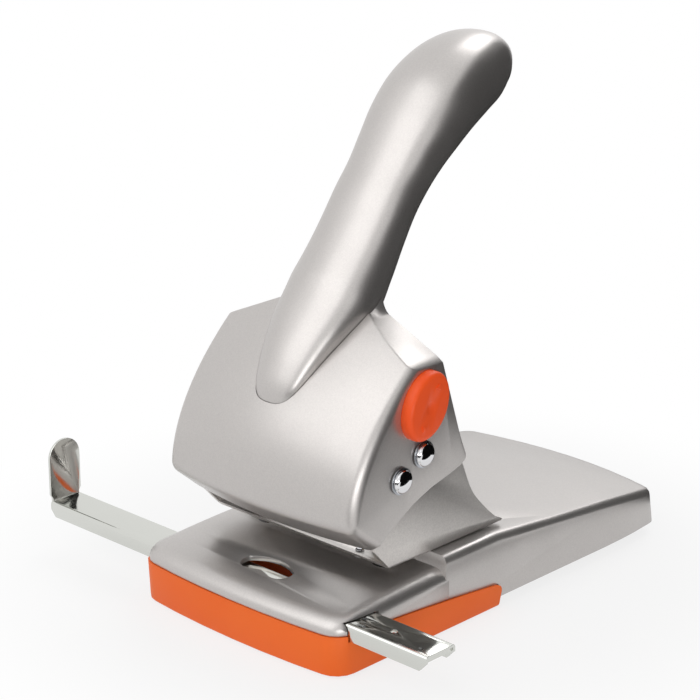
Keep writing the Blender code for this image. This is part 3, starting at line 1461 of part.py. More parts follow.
def make_lock():
    """The lock button, its steel pin, its spring and the clip that keeps them in the hood."""
    place = (BUTTON_BACK, BUTTON_Y, BUTTON_Z)
    face = BUTTON_PROUD
    rim = [
        (BUTTON_LONG - BUTTON_ROUND * (1 - math.sin(a)), face - BUTTON_ROUND * (1 - math.cos(a)))
        for a in spread(0, math.pi / 2, 5)
    ]
    dimple = [
        (BUTTON_DIMPLE_RADIUS * share, face - BUTTON_DIMPLE_DEPTH * (1 - share**2))
        for share in spread(0, 1, 3)
    ]
    profile = dimple + rim + [(BUTTON_LONG, 0), (0, 0)]
    button = turned("lock_button", profile, ORANGE, place, TURN_AXES["right"], steps=BUTTON_STEPS)
    oval = Matrix.Rotation(-BUTTON_TILT, 4, "Z") @ Matrix.Diagonal((1, BUTTON_SHORT / BUTTON_LONG, 1, 1))
    button.data.transform(oval)
    start = (BUTTON_BACK - OVERRUN, BUTTON_Y, BUTTON_Z)
    end = (BUTTON_BACK + BUTTON_SOCKET, BUTTON_Y, BUTTON_Z)
    cut(button, rod("pin_socket", LOCK_PIN_RADIUS + GAP, start, end, steps=SMALL_STEPS))
    y = BUTTON_Y + LOCK_SPRING_OFFSET * math.sin(BUTTON_TILT)
    z = BUTTON_Z + LOCK_SPRING_OFFSET * math.cos(BUTTON_TILT)
    end = (BUTTON_BACK + LOCK_SPRING_POCKET_DEPTH, y, z)
    cut(button, rod("spring_pocket", LOCK_SPRING_POCKET, (start[0], y, z), end, steps=SMALL_STEPS))
    tip = FRAME_HALF_WIDTH + GAP
    inner_end = BUTTON_BACK + BUTTON_SOCKET - GAP
    start = (tip, BUTTON_Y, BUTTON_Z)
    rod("lock_pin", LOCK_PIN_RADIUS, start, (inner_end, BUTTON_Y, BUTTON_Z), HARD_STEEL, SMALL_STEPS)
    clip_face = HOOD_INNER - GAP
    coil(
        "lock_spring",
        (clip_face + GAP, y, z),
        BUTTON_BACK + LOCK_SPRING_POCKET_DEPTH - 2 * GAP - clip_face,
        LOCK_SPRING_RADIUS,
        LOCK_SPRING_WIRE,
        LOCK_SPRING_TURNS,
        HARD_STEEL,
        TURN_AXES["right"],
    )
    up = Vector((math.sin(BUTTON_TILT), math.cos(BUTTON_TILT))) * CLIP_HALF_WIDTH
    side = Vector((math.cos(BUTTON_TILT), -math.sin(BUTTON_TILT))) * CLIP_HALF_LENGTH
    centre = Vector((y, z))
    corners = [centre - side - up, centre + side - up, centre + side + up, centre - side + up]
    outline = rounded(corners, [CLIP_CORNER] * 4, steps=3)
    return prism("lock_clip", outline, "YZ", clip_face - CLIP_SHEET, clip_face, ZINC)


def carry(names, empty_name, place):
    """Parents the pieces of a moving body to an empty on its joint's axis."""
    empty = bpy.data.objects.new(empty_name, None)
    PARTS.objects.link(empty)
    empty.location = place
    for name in names:
        piece = bpy.data.objects[name]
        piece.parent = empty
        piece.matrix_parent_inverse = Matrix.Translation(-Vector(place))


def main():
    make_base_casting()
    make_dies()
    make_chip_tray()
    make_hinge_pins()
    make_feet()
    make_guide_bar()
    make_bar_saddle()
    make_punch_frame()
    make_frame_fixings()
    make_punch_sets()
    make_shaft("pivot_axle", PIVOT_Y, PIVOT_Z)
    make_shaft_ends("pivot", PIVOT_Y, PIVOT_Z)
    make_shaft("press_shaft", PRESS_Y, PRESS_Z)
    make_shaft_ends("press", PRESS_Y, PRESS_Z)
    make_lever_hood()
    make_handle()
    make_lock()
    both = tuple(SIDES)
    lever = ["lever_hood", "handle", "press_shaft", "lock_clip", "lock_spring"]
    lever += [f"handle_screw_{word}" for word in ("left", "middle", "right")]
    lever += [f"press_{piece}_{word}" for piece in ("washer", "cap") for word in both]
    carry(lever, "lever_axis", (0, PIVOT_Y, PIVOT_Z))
    carry(["lock_button", "lock_pin"], "lock_axis", (BUTTON_BACK, BUTTON_Y, BUTTON_Z))
    tray = ["chip_tray", *(f"tray_hinge_pin_{word}" for word in both)]
    tray += [name for name, *_ in foot_places() if name.startswith("front")]
    carry(tray, "tray_axis", (0, HINGE_Y, HINGE_Z))


main()
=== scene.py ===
"""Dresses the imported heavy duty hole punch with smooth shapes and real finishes.

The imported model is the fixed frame. Each class below is one sub-assembly: it holds its sizes
in metres, builds its meshes and dresses them. X runs along the guide bar, Y to the rear and
Z up from the table, as in the frame.
"""

import logging
import math
from collections.abc import Iterable, Sequence
from dataclasses import dataclass
from enum import Enum
from functools import partial

import bmesh
import bpy
from mathutils import Matrix, Vector
from mathutils.bvhtree import BVHTree


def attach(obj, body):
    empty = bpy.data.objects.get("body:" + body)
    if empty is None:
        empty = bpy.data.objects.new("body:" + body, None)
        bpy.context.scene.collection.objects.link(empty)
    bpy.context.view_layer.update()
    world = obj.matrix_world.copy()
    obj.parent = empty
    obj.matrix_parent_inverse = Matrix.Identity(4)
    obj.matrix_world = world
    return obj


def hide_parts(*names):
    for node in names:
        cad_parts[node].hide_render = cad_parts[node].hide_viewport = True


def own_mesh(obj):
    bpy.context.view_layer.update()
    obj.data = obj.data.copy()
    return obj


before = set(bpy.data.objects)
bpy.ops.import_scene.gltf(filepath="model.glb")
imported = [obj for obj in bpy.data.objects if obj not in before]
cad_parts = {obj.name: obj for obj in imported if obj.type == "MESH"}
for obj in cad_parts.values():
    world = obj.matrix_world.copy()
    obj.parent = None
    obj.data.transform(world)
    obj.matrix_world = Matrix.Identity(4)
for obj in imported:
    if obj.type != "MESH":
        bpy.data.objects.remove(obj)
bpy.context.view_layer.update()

LOG = logging.getLogger("hole_punch")
MERGE = 1e-6
ARC_STEPS = 8
TURNED_STEPS = 64
HOLE_STEPS = 24
MITRE_LEAST = 0.5
FLAT_ANGLE = math.radians(0.5)
SHARP_ANGLE = math.radians(38)
WHITE = (1.0, 1.0, 1.0, 1.0)
NOISE = "ShaderNodeTexNoise"
RANGE = "ShaderNodeMapRange"
MATH = "ShaderNodeMath"
BUMP = "ShaderNodeBump"
VECTOR = "ShaderNodeCombineXYZ"
CYLINDER = "GeometryNodeMeshCylinder"
BOOLEAN = "GeometryNodeMeshBoolean"
TRANSFORM = "GeometryNodeTransform"

Point2 = tuple[float, float]
Point3 = tuple[float, float, float]


class Body(Enum):
    """The moving bodies of the frame."""

    BASE = "base"
    LEVER = "lever"
    LOCK = "lock"
    GUIDE = "guide"
    TRAY = "tray"
    PUNCH_LEFT = "punch_left"
    PUNCH_RIGHT = "punch_right"


class Axis(Enum):
    """Where a turned piece's top points, as its turn about Y from +Z."""

    RIGHT = math.pi / 2
    LEFT = -math.pi / 2


class Operation(Enum):
    """What one solid does to another."""

    CUT = "DIFFERENCE"
    JOIN = "UNION"
    TRIM = "INTERSECT"


class Side(Enum):
    """The two sides of the punch, seen from the front."""

    LEFT = -1
    RIGHT = 1

    @property
    def word(self) -> str:
        """The side's word in the names of the frame's nodes."""
        return self.name.lower()


class Slot(Enum):
    """The record's material slots."""

    SILVER = "silver_paint"
    HANDLE = "handle_paint"
    FRAME = "frame_steel"
    NICKEL = "nickel"
    CHROME = "bright_chrome"
    HARD = "hard_steel"
    ZINC = "zinc"
    BRONZE = "bronze"
    ORANGE = "orange_plastic"
    NYLON = "dark_nylon"
    RUBBER = "rubber"


# Materials


def linear(colour: str) -> tuple[float, float, float, float]:
    """Turns an sRGB colour of six hex digits into linear red, green, blue and an alpha of 1."""
    channels = (int(colour[i : i + 2], 16) / 255 for i in (0, 2, 4))
    curve = [c / 12.92 if c <= 0.04045 else ((c + 0.055) / 1.055) ** 2.4 for c in channels]
    return (*curve, 1.0)


def per_metre(size_mm: float) -> float:
    """A texture scale whose features are about this many millimetres across."""
    return 1000.0 / size_mm


def feed(node: bpy.types.Node, values: dict | Sequence) -> bpy.types.Node:
    """Sets or links a node's inputs.

    Args:
        node: The node.
        values: Its inputs by name, or its first inputs in order. A node or a socket is linked,
            a list links several to one input, and anything else is the input's own value.

    Returns:
        The same node.
    """
    for name, value in values.items() if isinstance(values, dict) else enumerate(values):
        for source in value if isinstance(value, list) else [value]:
            if isinstance(source, bpy.types.Node):
                source = source.outputs[0]
            if isinstance(source, bpy.types.NodeSocket):
                node.id_data.links.new(source, node.inputs[name])
            else:
                node.inputs[name].default_value = source
    return node


def add_node(
    tree: bpy.types.NodeTree, kind: str, values: dict | Sequence = (), **settings
) -> bpy.types.Node:
    """Adds a node with its settings and its inputs.

    Args:
        tree: The node tree to add to.
        kind: The node's type name.
        values: Its inputs, as feed takes them.
        settings: The node's own properties.

    Returns:
        The new node.
    """
    node = tree.nodes.new(kind)
    for name, setting in settings.items():
        setattr(node, name, setting)
    return feed(node, values)


@dataclass(frozen=True)
class Canvas:
    """A material's node tree, with its Principled shader and the object coordinates."""

    tree: bpy.types.NodeTree
    shader: bpy.types.Node
    place: bpy.types.NodeSocket

    def texture(self, size_mm: float, **others: float) -> dict:
        """The inputs of a texture whose features are about this large."""
        return {"Vector": self.place, "Scale": per_metre(size_mm), **others}


class FinishBase:
    """What every finish shares: a named material, made at its first use and kept."""

    name: str
    slot: Slot

    def material(self) -> bpy.types.Material:
        """Gives the finish's material.

        Returns:
            The material, which is built the first time.
        """
        material = bpy.data.materials.get(self.name)
        if material is None:
            material = bpy.data.materials.new(self.name)
            material.use_nodes = True
            tree = material.node_tree
            place = add_node(tree, "ShaderNodeTexCoord").outputs["Object"]
            self.build(Canvas(tree, tree.nodes["Principled BSDF"], place))
        return material

    def build(self, canvas: Canvas) -> None:
        """Adds the finish's nodes to its material."""
        raise NotImplementedError


@dataclass(frozen=True)
class FlakePaint(FinishBase):
    """Silver lacquer with aluminium flakes, sprayed on a die casting.

    The eye sees a soft satin sheen, a very fine sparkle and faint orange peel.
    """

    name: str = "silver_flake_lacquer"
    slot: Slot = Slot.SILVER
    colour: str = "C8C4C1"
    dark_flake: str = "B8B4B2"
    flake_tones: Point2 = (0.25, 0.875)
    metallic: float = 0.80
    roughness: float = 0.34
    shine_swing: Point2 = (-0.03, 0.04)
    coat: Point2 = (0.12, 0.30)
    flake_mm: float = 0.45  # real flakes are far finer; drawn as coarse as the render needs
    cloud_mm: float = 28
    peel_mm: float = 2.2
    peel_height: float = 0.00002
    cloud_range: Point2 = (0.3, 0.7)
    peel_strength: float = 0.35
    grain_strength: float = 0.30

    def build(self, canvas: Canvas) -> None:
        """Adds the lacquer's nodes.

        Args:
            canvas: The material.
        """
        add = partial(add_node, canvas.tree)
        flakes = add("ShaderNodeTexVoronoi", canvas.texture(self.flake_mm))
        tone = add(RANGE, (flakes.outputs["Color"], 0.0, 1.0, *self.flake_tones))
        shades = {"Factor": tone, "A": linear(self.dark_flake), "B": linear(self.colour)}
        colour = add("ShaderNodeMix", shades, data_type="RGBA").outputs["Result"]
        cloud = add(NOISE, canvas.texture(self.cloud_mm, Detail=3.0))
        shines = (self.roughness + swing for swing in self.shine_swing)
        shine = add(RANGE, (cloud, *self.cloud_range, *shines))
        peel = add(NOISE, canvas.texture(self.peel_mm, Detail=1.0))
        grain = add(NOISE, canvas.texture(self.flake_mm, Detail=2.0))
        coarse = {"Height": peel, "Strength": self.peel_strength, "Distance": self.peel_height}
        fine = {"Height": grain, "Strength": self.grain_strength, "Distance": self.peel_height / 2}
        bump = add(BUMP, {**fine, "Normal": add(BUMP, coarse)})
        coat, coat_roughness = self.coat
        skin = {"Coat Weight": coat, "Coat Roughness": coat_roughness, "Normal": bump}
        metal = {"Base Color": colour, "Metallic": self.metallic, "Roughness": shine}
        feed(canvas.shader, {**metal, **skin})


@dataclass(frozen=True)
class PlatedSteel(FinishBase):
    """Bright plate on steel. The eye sees sharp reflections with faint drawn lines and smears."""

    name: str = "bright_plate"
    slot: Slot = Slot.ZINC
    colour: str = "D9D7D0"
    roughness: float = 0.10
    smear: float = 0.10
    smear_mm: float = 14
    line_mm: float = 0.35
    line_length_mm: float = 30.0
    line_depth: float = 0.000004
    along: int = 0
    smear_range: Point2 = (0.35, 0.75)
    line_strength: float = 0.5

    def build(self, canvas: Canvas) -> None:
        """Adds the plate's nodes, with its drawn lines along one main direction.

        Args:
            canvas: The material.
        """
        add = partial(add_node, canvas.tree)
        scale = [per_metre(self.line_mm)] * 3
        scale[self.along] = per_metre(self.line_length_mm)
        stretched = add("ShaderNodeMapping", {"Vector": canvas.place, "Scale": tuple(scale)})
        lines = add(NOISE, {"Vector": stretched, "Scale": 1.0, "Detail": 2.0})
        smears = add(NOISE, canvas.texture(self.smear_mm, Detail=4.0))
        rough = self.roughness
        shine = add(RANGE, (smears, *self.smear_range, rough, rough + self.smear))
        height = {"Height": lines, "Strength": self.line_strength, "Distance": self.line_depth}
        metal = {"Base Color": linear(self.colour), "Metallic": 1.0, "Roughness": shine}
        feed(canvas.shader, {**metal, "Normal": add(BUMP, height)})


@dataclass(frozen=True)
class MouldedPlastic(FinishBase):
    """Injection-moulded plastic with a fine spark-eroded texture that softens its shine."""

    name: str = "orange_abs"
    slot: Slot = Slot.ORANGE
    colour: str = "FF7428"
    shade: str = "FC6A20"
    roughness: float = 0.48
    shine_swing: Point2 = (-0.05, 0.06)
    flow_mm: float = 35
    texture_mm: float = 0.5  # the real texture is about 0.1 mm, too fine to show in the render
    depth: float = 0.00002
    specular: float = 0.35
    flow_range: Point2 = (0.35, 0.65)
    flow_tones: Point2 = (0.55, 1.0)
    texture_range: Point2 = (0.3, 0.7)
    texture_strength: float = 0.35

    def build(self, canvas: Canvas) -> None:
        """Adds the plastic's nodes.

        Args:
            canvas: The material.
        """
        add = partial(add_node, canvas.tree)
        flow = add(NOISE, canvas.texture(self.flow_mm, Detail=2.0))
        tone = add(RANGE, (flow, *self.flow_range, *self.flow_tones))
        shades = {"Factor": tone, "A": linear(self.shade), "B": linear(self.colour)}
        colour = add("ShaderNodeMix", shades, data_type="RGBA").outputs["Result"]
        grain = add(NOISE, canvas.texture(self.texture_mm, Detail=2.0))
        shines = (self.roughness + swing for swing in self.shine_swing)
        shine = add(RANGE, (grain, *self.texture_range, *shines))
        height = {"Height": grain, "Strength": self.texture_strength, "Distance": self.depth}
        skin = {"Base Color": colour, "Roughness": shine, "Specular IOR Level": self.specular}
        feed(canvas.shader, {**skin, "Normal": add(BUMP, height)})


# The castings' satin silver, and the handle's, which is a shade more metallic
SILVER = FlakePaint()
HANDLE_SILVER = FlakePaint("handle_flake_lacquer", Slot.HANDLE, metallic=0.85, roughness=0.35)
# A duller, coarser coat on the pressed bracket. Its lighter colour is painted light that brightens the
# bracket, which sits in shade under the hood
BRACKET_SILVER = FlakePaint(
    "bracket_flake_lacquer", Slot.FRAME, "DAD6D2", "C2BEBB", roughness=0.38, flake_mm=0.6
)
# Warm mirror of the guide bar, and the cold, sharper mirror of the caps
NICKEL = PlatedSteel("bright_nickel_plate", Slot.NICKEL, "D2D3CE", roughness=0.09, smear=0.05)
CHROME = PlatedSteel(
    "bright_chrome_plate", Slot.CHROME, "DCDCDE", roughness=0.04, smear=0.04, line_depth=0.000001
)
# Dark ground shafts and punches, matt bluish screws, and brown bushes that hold oil
GROUND_STEEL = PlatedSteel(
    "ground_tool_steel", Slot.HARD, "8E8E92", roughness=0.22, smear=0.10, line_length_mm=6, along=2
)
ZINC = PlatedSteel(
    "zinc_plated_steel", Slot.ZINC, "B9BCC1", roughness=0.28, smear=0.14, line_length_mm=1
)
BRONZE = PlatedSteel(
    "sintered_bronze", Slot.BRONZE, "9A7A4C", roughness=0.38, smear=0.12, line_length_mm=1
)
# The tray's bright orange, the button's deeper and glossier one, and two dark plastics
ORANGE = MouldedPlastic()
BUTTON_ORANGE = MouldedPlastic("orange_acetal", Slot.ORANGE, "FF5A1C", "FA5014", roughness=0.38)
NYLON = MouldedPlastic("dark_nylon", Slot.NYLON, "3A3B3D", "303133", roughness=0.5)
RUBBER = MouldedPlastic(
    "dark_rubber", Slot.RUBBER, "2B2B2D", "232325", roughness=0.8, specular=0.3
)


# Shapes


def spread(low: float, high: float, count: int) -> list[float]:
    """Evenly spaced values from low to high, both included."""
    return [low + (high - low) * i / (count - 1) for i in range(count)]


def circle_points(radius: float, steps: int) -> list[Point2]:
    """Evenly spaced points on a circle round the origin."""
    angles = (math.tau * i / steps for i in range(steps))
    return [(radius * math.cos(a), radius * math.sin(a)) for a in angles]


def rounded(path: Sequence[Point2], radii: Sequence[float]) -> list[Point2]:
    """An open path with its corners rounded.

    Args:
        path: The corners.
        radii: One radius for each corner, 0 for a sharp one and for both ends.

    Returns:
        The rounded path.
    """
    result = []
    for i, (point, radius) in enumerate(zip(path, radii)):
        if radius == 0:
            result.append(tuple(point))
            continue
        here = Vector(point)
        back = (Vector(path[i - 1]) - here).normalized()
        ahead = (Vector(path[i + 1]) - here).normalized()
        half = back.angle(ahead) / 2
        centre = here + (back + ahead).normalized() * (radius / math.sin(half))
        start = here + back * (radius / math.tan(half)) - centre
        end = here + ahead * (radius / math.tan(half)) - centre
        turn = start.angle_signed(end)
        for k in range(ARC_STEPS + 1):
            result.append(tuple(centre + Matrix.Rotation(-turn * k / ARC_STEPS, 2) @ start))
    return result


def smooth_through(points: Sequence[Sequence[float]], steps: int) -> list[tuple[float, ...]]:
    """A smooth curve through points of any number of values.

    Args:
        points: The points that it goes through.
        steps: The number of steps from each point to the next.

    Returns:
        The curve's points.
    """
    result = []
    for i in range(len(points) - 1):
        p0, p1 = Vector(points[max(i - 1, 0)]), Vector(points[i])
        p2, p3 = Vector(points[i + 1]), Vector(points[min(i + 2, len(points) - 1)])
        for k in range(steps):
            t = k / steps
            near = 2 * p1 + (p2 - p0) * t + (2 * p0 - 5 * p1 + 4 * p2 - p3) * t**2
            result.append(tuple((near + (3 * p1 - p0 - 3 * p2 + p3) * t**3) / 2))
    return [*result, tuple(points[-1])]


def offset_path(path: Sequence[Point2], distance: float) -> list[Point2]:
    """An open path moved sideways to its right, square to its own direction.

    Args:
        path: The path's points.
        distance: How far it moves.

    Returns:
        The moved points.
    """
    moved = []
    for i, point in enumerate(path):
        here = Vector(point)
        first = here - Vector(path[i - 1]) if i else Vector(path[1]) - here
        second = Vector(path[i + 1]) - here if i < len(path) - 1 else first
        first, second = first.normalized(), second.normalized()
        normal = Vector((first.y + second.y, -first.x - second.x)).normalized()
        reach = distance / max(normal.dot(Vector((first.y, -first.x))), MITRE_LEAST)
        moved.append(tuple(here + normal * reach))
    return moved


def new_object(name: str, bm: bmesh.types.BMesh) -> bpy.types.Object:
    """Makes an object of a finished mesh, with its faces pointing outwards.

    Args:
        name: The object's name.
        bm: The mesh, which this call frees.

    Returns:
        The new object, at the origin.
    """
    bmesh.ops.recalc_face_normals(bm, faces=bm.faces)
    mesh = bpy.data.meshes.new(name)
    bm.to_mesh(mesh)
    bm.free()
    obj = bpy.data.objects.new(name, mesh)
    bpy.context.scene.collection.objects.link(obj)
    return obj


def loft(name: str, rings: Sequence[Sequence[Point3]]) -> bpy.types.Object:
    """A closed solid through rings, capped at both ends.

    Args:
        name: The object's name.
        rings: The sections in order, with equal numbers of points, or with one for a tip.

    Returns:
        The new object.
    """
    bm = bmesh.new()
    rows = [[bm.verts.new(point) for point in ring] for ring in rings]
    sides = max(map(len, rows))
    for one, two in zip(rows, rows[1:]):
        for i in range(sides):
            k = (i + 1) % sides
            corners = (one[i % len(one)], one[k % len(one)], two[k % len(two)], two[i % len(two)])
            unique = list(dict.fromkeys(corners))
            if len(unique) > 2:
                bm.faces.new(unique)
    for row in (rows[0], rows[-1]):
        if len(row) > 2:
            bm.faces.new(row)
    return new_object(name, bm)


def prism(name: str, outline: Sequence[Point2], low: float, high: float) -> bpy.types.Object:
    """A side view, given as points of (y, z), made solid between two values of x."""
    return loft(name, [[(x, *point) for point in outline] for x in (low, high)])


def rod(
    name: str, radius: float, start: Iterable[float], end: Iterable[float], steps: int = 48
) -> bpy.types.Object:
    """A round rod between two points.

    Args:
        name: The object's name.
        radius: The rod's radius.
        start: One end.
        end: The other end.
        steps: The number of sides.

    Returns:
        The new object.
    """
    first, last = Vector(start), Vector(end)
    turn = (last - first).to_track_quat("Z", "Y")
    ring = [Vector((*point, 0)) for point in circle_points(radius, steps)]
    return loft(name, [[tuple(base + turn @ point) for point in ring] for base in (first, last)])


def revolved(name: str, profile: Sequence[Point2], place: Point3, axis: Axis) -> bpy.types.Object:
    """A turned solid.

    Args:
        name: The object's name.
        profile: Points of radius and height, from the top's middle round to the bottom's middle.
        place: Where its own origin goes.
        axis: The direction of its height.

    Returns:
        The new object.
    """
    matrix = Matrix.Translation(place) @ Matrix.Rotation(axis.value, 4, "Y")
    rings = []
    for radius, height in profile:
        ring = circle_points(radius, TURNED_STEPS) if radius > MERGE else [(0, 0)]
        rings.append([matrix @ Vector((*point, height)) for point in ring])
    return loft(name, rings)


def settled(obj: bpy.types.Object) -> bpy.types.Object:
    """Applies an object's modifiers and removes them, leaving one plain mesh."""
    bpy.context.view_layer.update()
    graph = bpy.context.evaluated_depsgraph_get()
    mesh = bpy.data.meshes.new_from_object(obj.evaluated_get(graph))
    obj.modifiers.clear()
    old = obj.data
    obj.data = mesh
    bpy.data.meshes.remove(old)
    return obj


def combined(
    target: bpy.types.Object, tool: bpy.types.Object, operation: Operation
) -> bpy.types.Object:
    """Cuts, joins or trims two solids and removes the tool.

    Args:
        target: The solid that stays.
        tool: The other solid.
        operation: What the tool does.

    Returns:
        The target.
    """
    modifier = target.modifiers.new("Boolean", "BOOLEAN")
    modifier.operation = operation.value
    modifier.solver = "EXACT"
    modifier.object = tool
    settled(target)
    bpy.data.objects.remove(tool, do_unlink=True)
    return target


def softened(
    obj: bpy.types.Object, width: float, segments: int = 2, angle: float = 32.0
) -> bpy.types.Object:
    """Rounds a solid's hard edges and shades it smooth between the ones that stay.

    Args:
        obj: The solid.
        width: The rounding's width.
        segments: The number of steps across the rounding.
        angle: Edges sharper than this, in degrees, are rounded.

    Returns:
        The same object.
    """
    bm = bmesh.new()
    bm.from_mesh(obj.data)
    bmesh.ops.remove_doubles(bm, verts=bm.verts, dist=MERGE)
    bmesh.ops.dissolve_limit(bm, angle_limit=FLAT_ANGLE, verts=bm.verts, edges=bm.edges)
    bm.to_mesh(obj.data)
    bm.free()
    if width:
        bevel = obj.modifiers.new("Bevel", "BEVEL")
        bevel.width = width
        bevel.segments = segments
        bevel.limit_method = "ANGLE"
        bevel.angle_limit = math.radians(angle)
        bevel.miter_outer = "MITER_ARC"
        settled(obj)
    return smooth(obj)


def smooth(obj: bpy.types.Object) -> bpy.types.Object:
    """Shades an object smooth, with its sharp edges kept."""
    mesh = obj.data
    mesh.polygons.foreach_set("use_smooth", [True] * len(mesh.polygons))
    mesh.set_sharp_from_angle(angle=SHARP_ANGLE)
    return obj


def dress(
    obj: bpy.types.Object, body: Body, finish: FinishBase, nodes: Iterable[str]
) -> bpy.types.Object:
    """Gives a finished piece its material and lets it stand for its CAD nodes.

    Args:
        obj: The piece, in place.
        body: The body that carries it.
        finish: The finish that it shows, which knows its slot in the record.
        nodes: The CAD nodes that it replaces.

    Returns:
        The same object.
    """
    obj.data.materials.clear()
    obj.data.materials.append(finish.material())
    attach(obj, body.value)
    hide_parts(*nodes)
    LOG.info("%s: %d faces", obj.name, len(obj.data.polygons))
    return obj


def dress_node(node: str, body: Body, finish: FinishBase, edge: float) -> bpy.types.Object:
    """Dresses a merged copy of one of the frame's solids, with softened edges.

    Args:
        node: The frame's node.
        body: The body that carries it.
        finish: The finish that it shows.
        edge: The width of its rounded edges.

    Returns:
        The dressed piece.
    """
    bm = bmesh.new()
    bm.from_mesh(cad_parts[node].data)
    bmesh.ops.remove_doubles(bm, verts=bm.verts, dist=MERGE)
    return dress(softened(new_object(f"{node}_skin", bm), edge), body, finish, [node])


# Sub-assemblies


@dataclass
class Handle:
    """The long cast handle, whose tongue is let into the hood's front."""

    tongue: Point2 = (0.0080, 0.1148)
    end_y: float = 0.1692
    top_z: float = 0.2760
    half_width: float = 0.0238
    half_thickness: float = 0.0160
    squareness: float = 2.35
    round_points: int = 72
    steps: int = 6
    boss_radius: float = 0.0048
    boss_length: float = 0.0325
    boss_gap: float = 0.0023
    screw_x: float = 0.0120
    # Along each station: its centre's shares of the reach and the rise, then its half thickness
    # and half width as shares of the handle's
    spine_shares: tuple[tuple[float, float, float, float], ...] = (
        (-0.002, -0.005, 0.09, 0.21),
        (0.005, 0.011, 0.23, 0.40),
        (0.025, 0.040, 0.39, 0.55),
        (0.059, 0.083, 0.53, 0.67),
        (0.105, 0.139, 0.66, 0.79),
        (0.172, 0.204, 0.84, 0.93),
        (0.262, 0.273, 1.11, 1.045),
        (0.330, 0.360, 1.06, 1.01),
        (0.386, 0.444, 0.98, 0.98),
        (0.443, 0.530, 0.94, 0.965),
        (0.501, 0.601, 0.955, 0.96),
        (0.558, 0.670, 1.03, 1.01),
        (0.623, 0.740, 1.145, 1.085),
        (0.694, 0.802, 1.245, 1.105),
        (0.773, 0.848, 1.27, 1.07),
        (0.848, 0.876, 1.21, 0.99),
        (0.905, 0.889, 1.07, 0.86),
        (0.950, 0.890, 0.86, 0.71),
        (0.983, 0.886, 0.54, 0.45),
        (1.000, 0.885, 0.16, 0.14),
    )

    def rings(self, grow: float) -> list[list[Point3]]:
        """Sections square to the handle's spine, each a soft rectangle.

        Args:
            grow: How much larger the sections are than the handle.

        Returns:
            The sections, from the tongue's tip to the handle's end.
        """
        across = self.end_y - self.tongue[0]
        rise = self.top_z - self.tongue[1]
        stations = smooth_through(self.spine_shares, self.steps)
        y0, z0 = self.tongue
        centres = [Vector((y0 + y * across, z0 + z * rise)) for y, z, _, _ in stations]
        rings = []
        for i, (centre, station) in enumerate(zip(centres, stations)):
            ahead, behind = centres[min(i + 1, len(centres) - 1)], centres[max(i - 1, 0)]
            along = (ahead - behind).normalized()
            square = Vector((-along.y, along.x))
            thick = self.half_thickness * station[2] + grow
            wide = self.half_width * station[3] + grow
            if grow and i in (0, len(centres) - 1):
                centre = centre + along * (grow if i else -grow)
            ring = []
            for k in range(self.round_points):
                angle = math.tau * k / self.round_points
                power = 2 / self.squareness
                side = math.copysign(abs(math.cos(angle)) ** power, math.cos(angle))
                up = math.copysign(abs(math.sin(angle)) ** power, math.sin(angle))
                place = centre + square * (thick * up)
                ring.append((wide * side, place.x, place.y))
            rings.append(ring)
        return rings

    def build(self, screw_face: Point2, outward: Vector) -> bpy.types.Object:
        """Builds and dresses the handle, with the three bosses that take its screws.

        Args:
            screw_face: Where the middle screw meets the hood's rear wall, as (y, z).
            outward: The wall's direction, away from the handle.

        Returns:
            The dressed handle.
        """
        handle = loft("handle_skin", self.rings(0))
        face = Vector((0, *screw_face))
        for sign in (-1, 0, 1):
            start = face + Vector((sign * self.screw_x, 0, 0)) - outward * self.boss_gap
            boss = rod("boss", self.boss_radius, start, start - outward * self.boss_length)
            combined(handle, boss, Operation.JOIN)
        return dress(smooth(handle), Body.LEVER, HANDLE_SILVER, ["handle"])


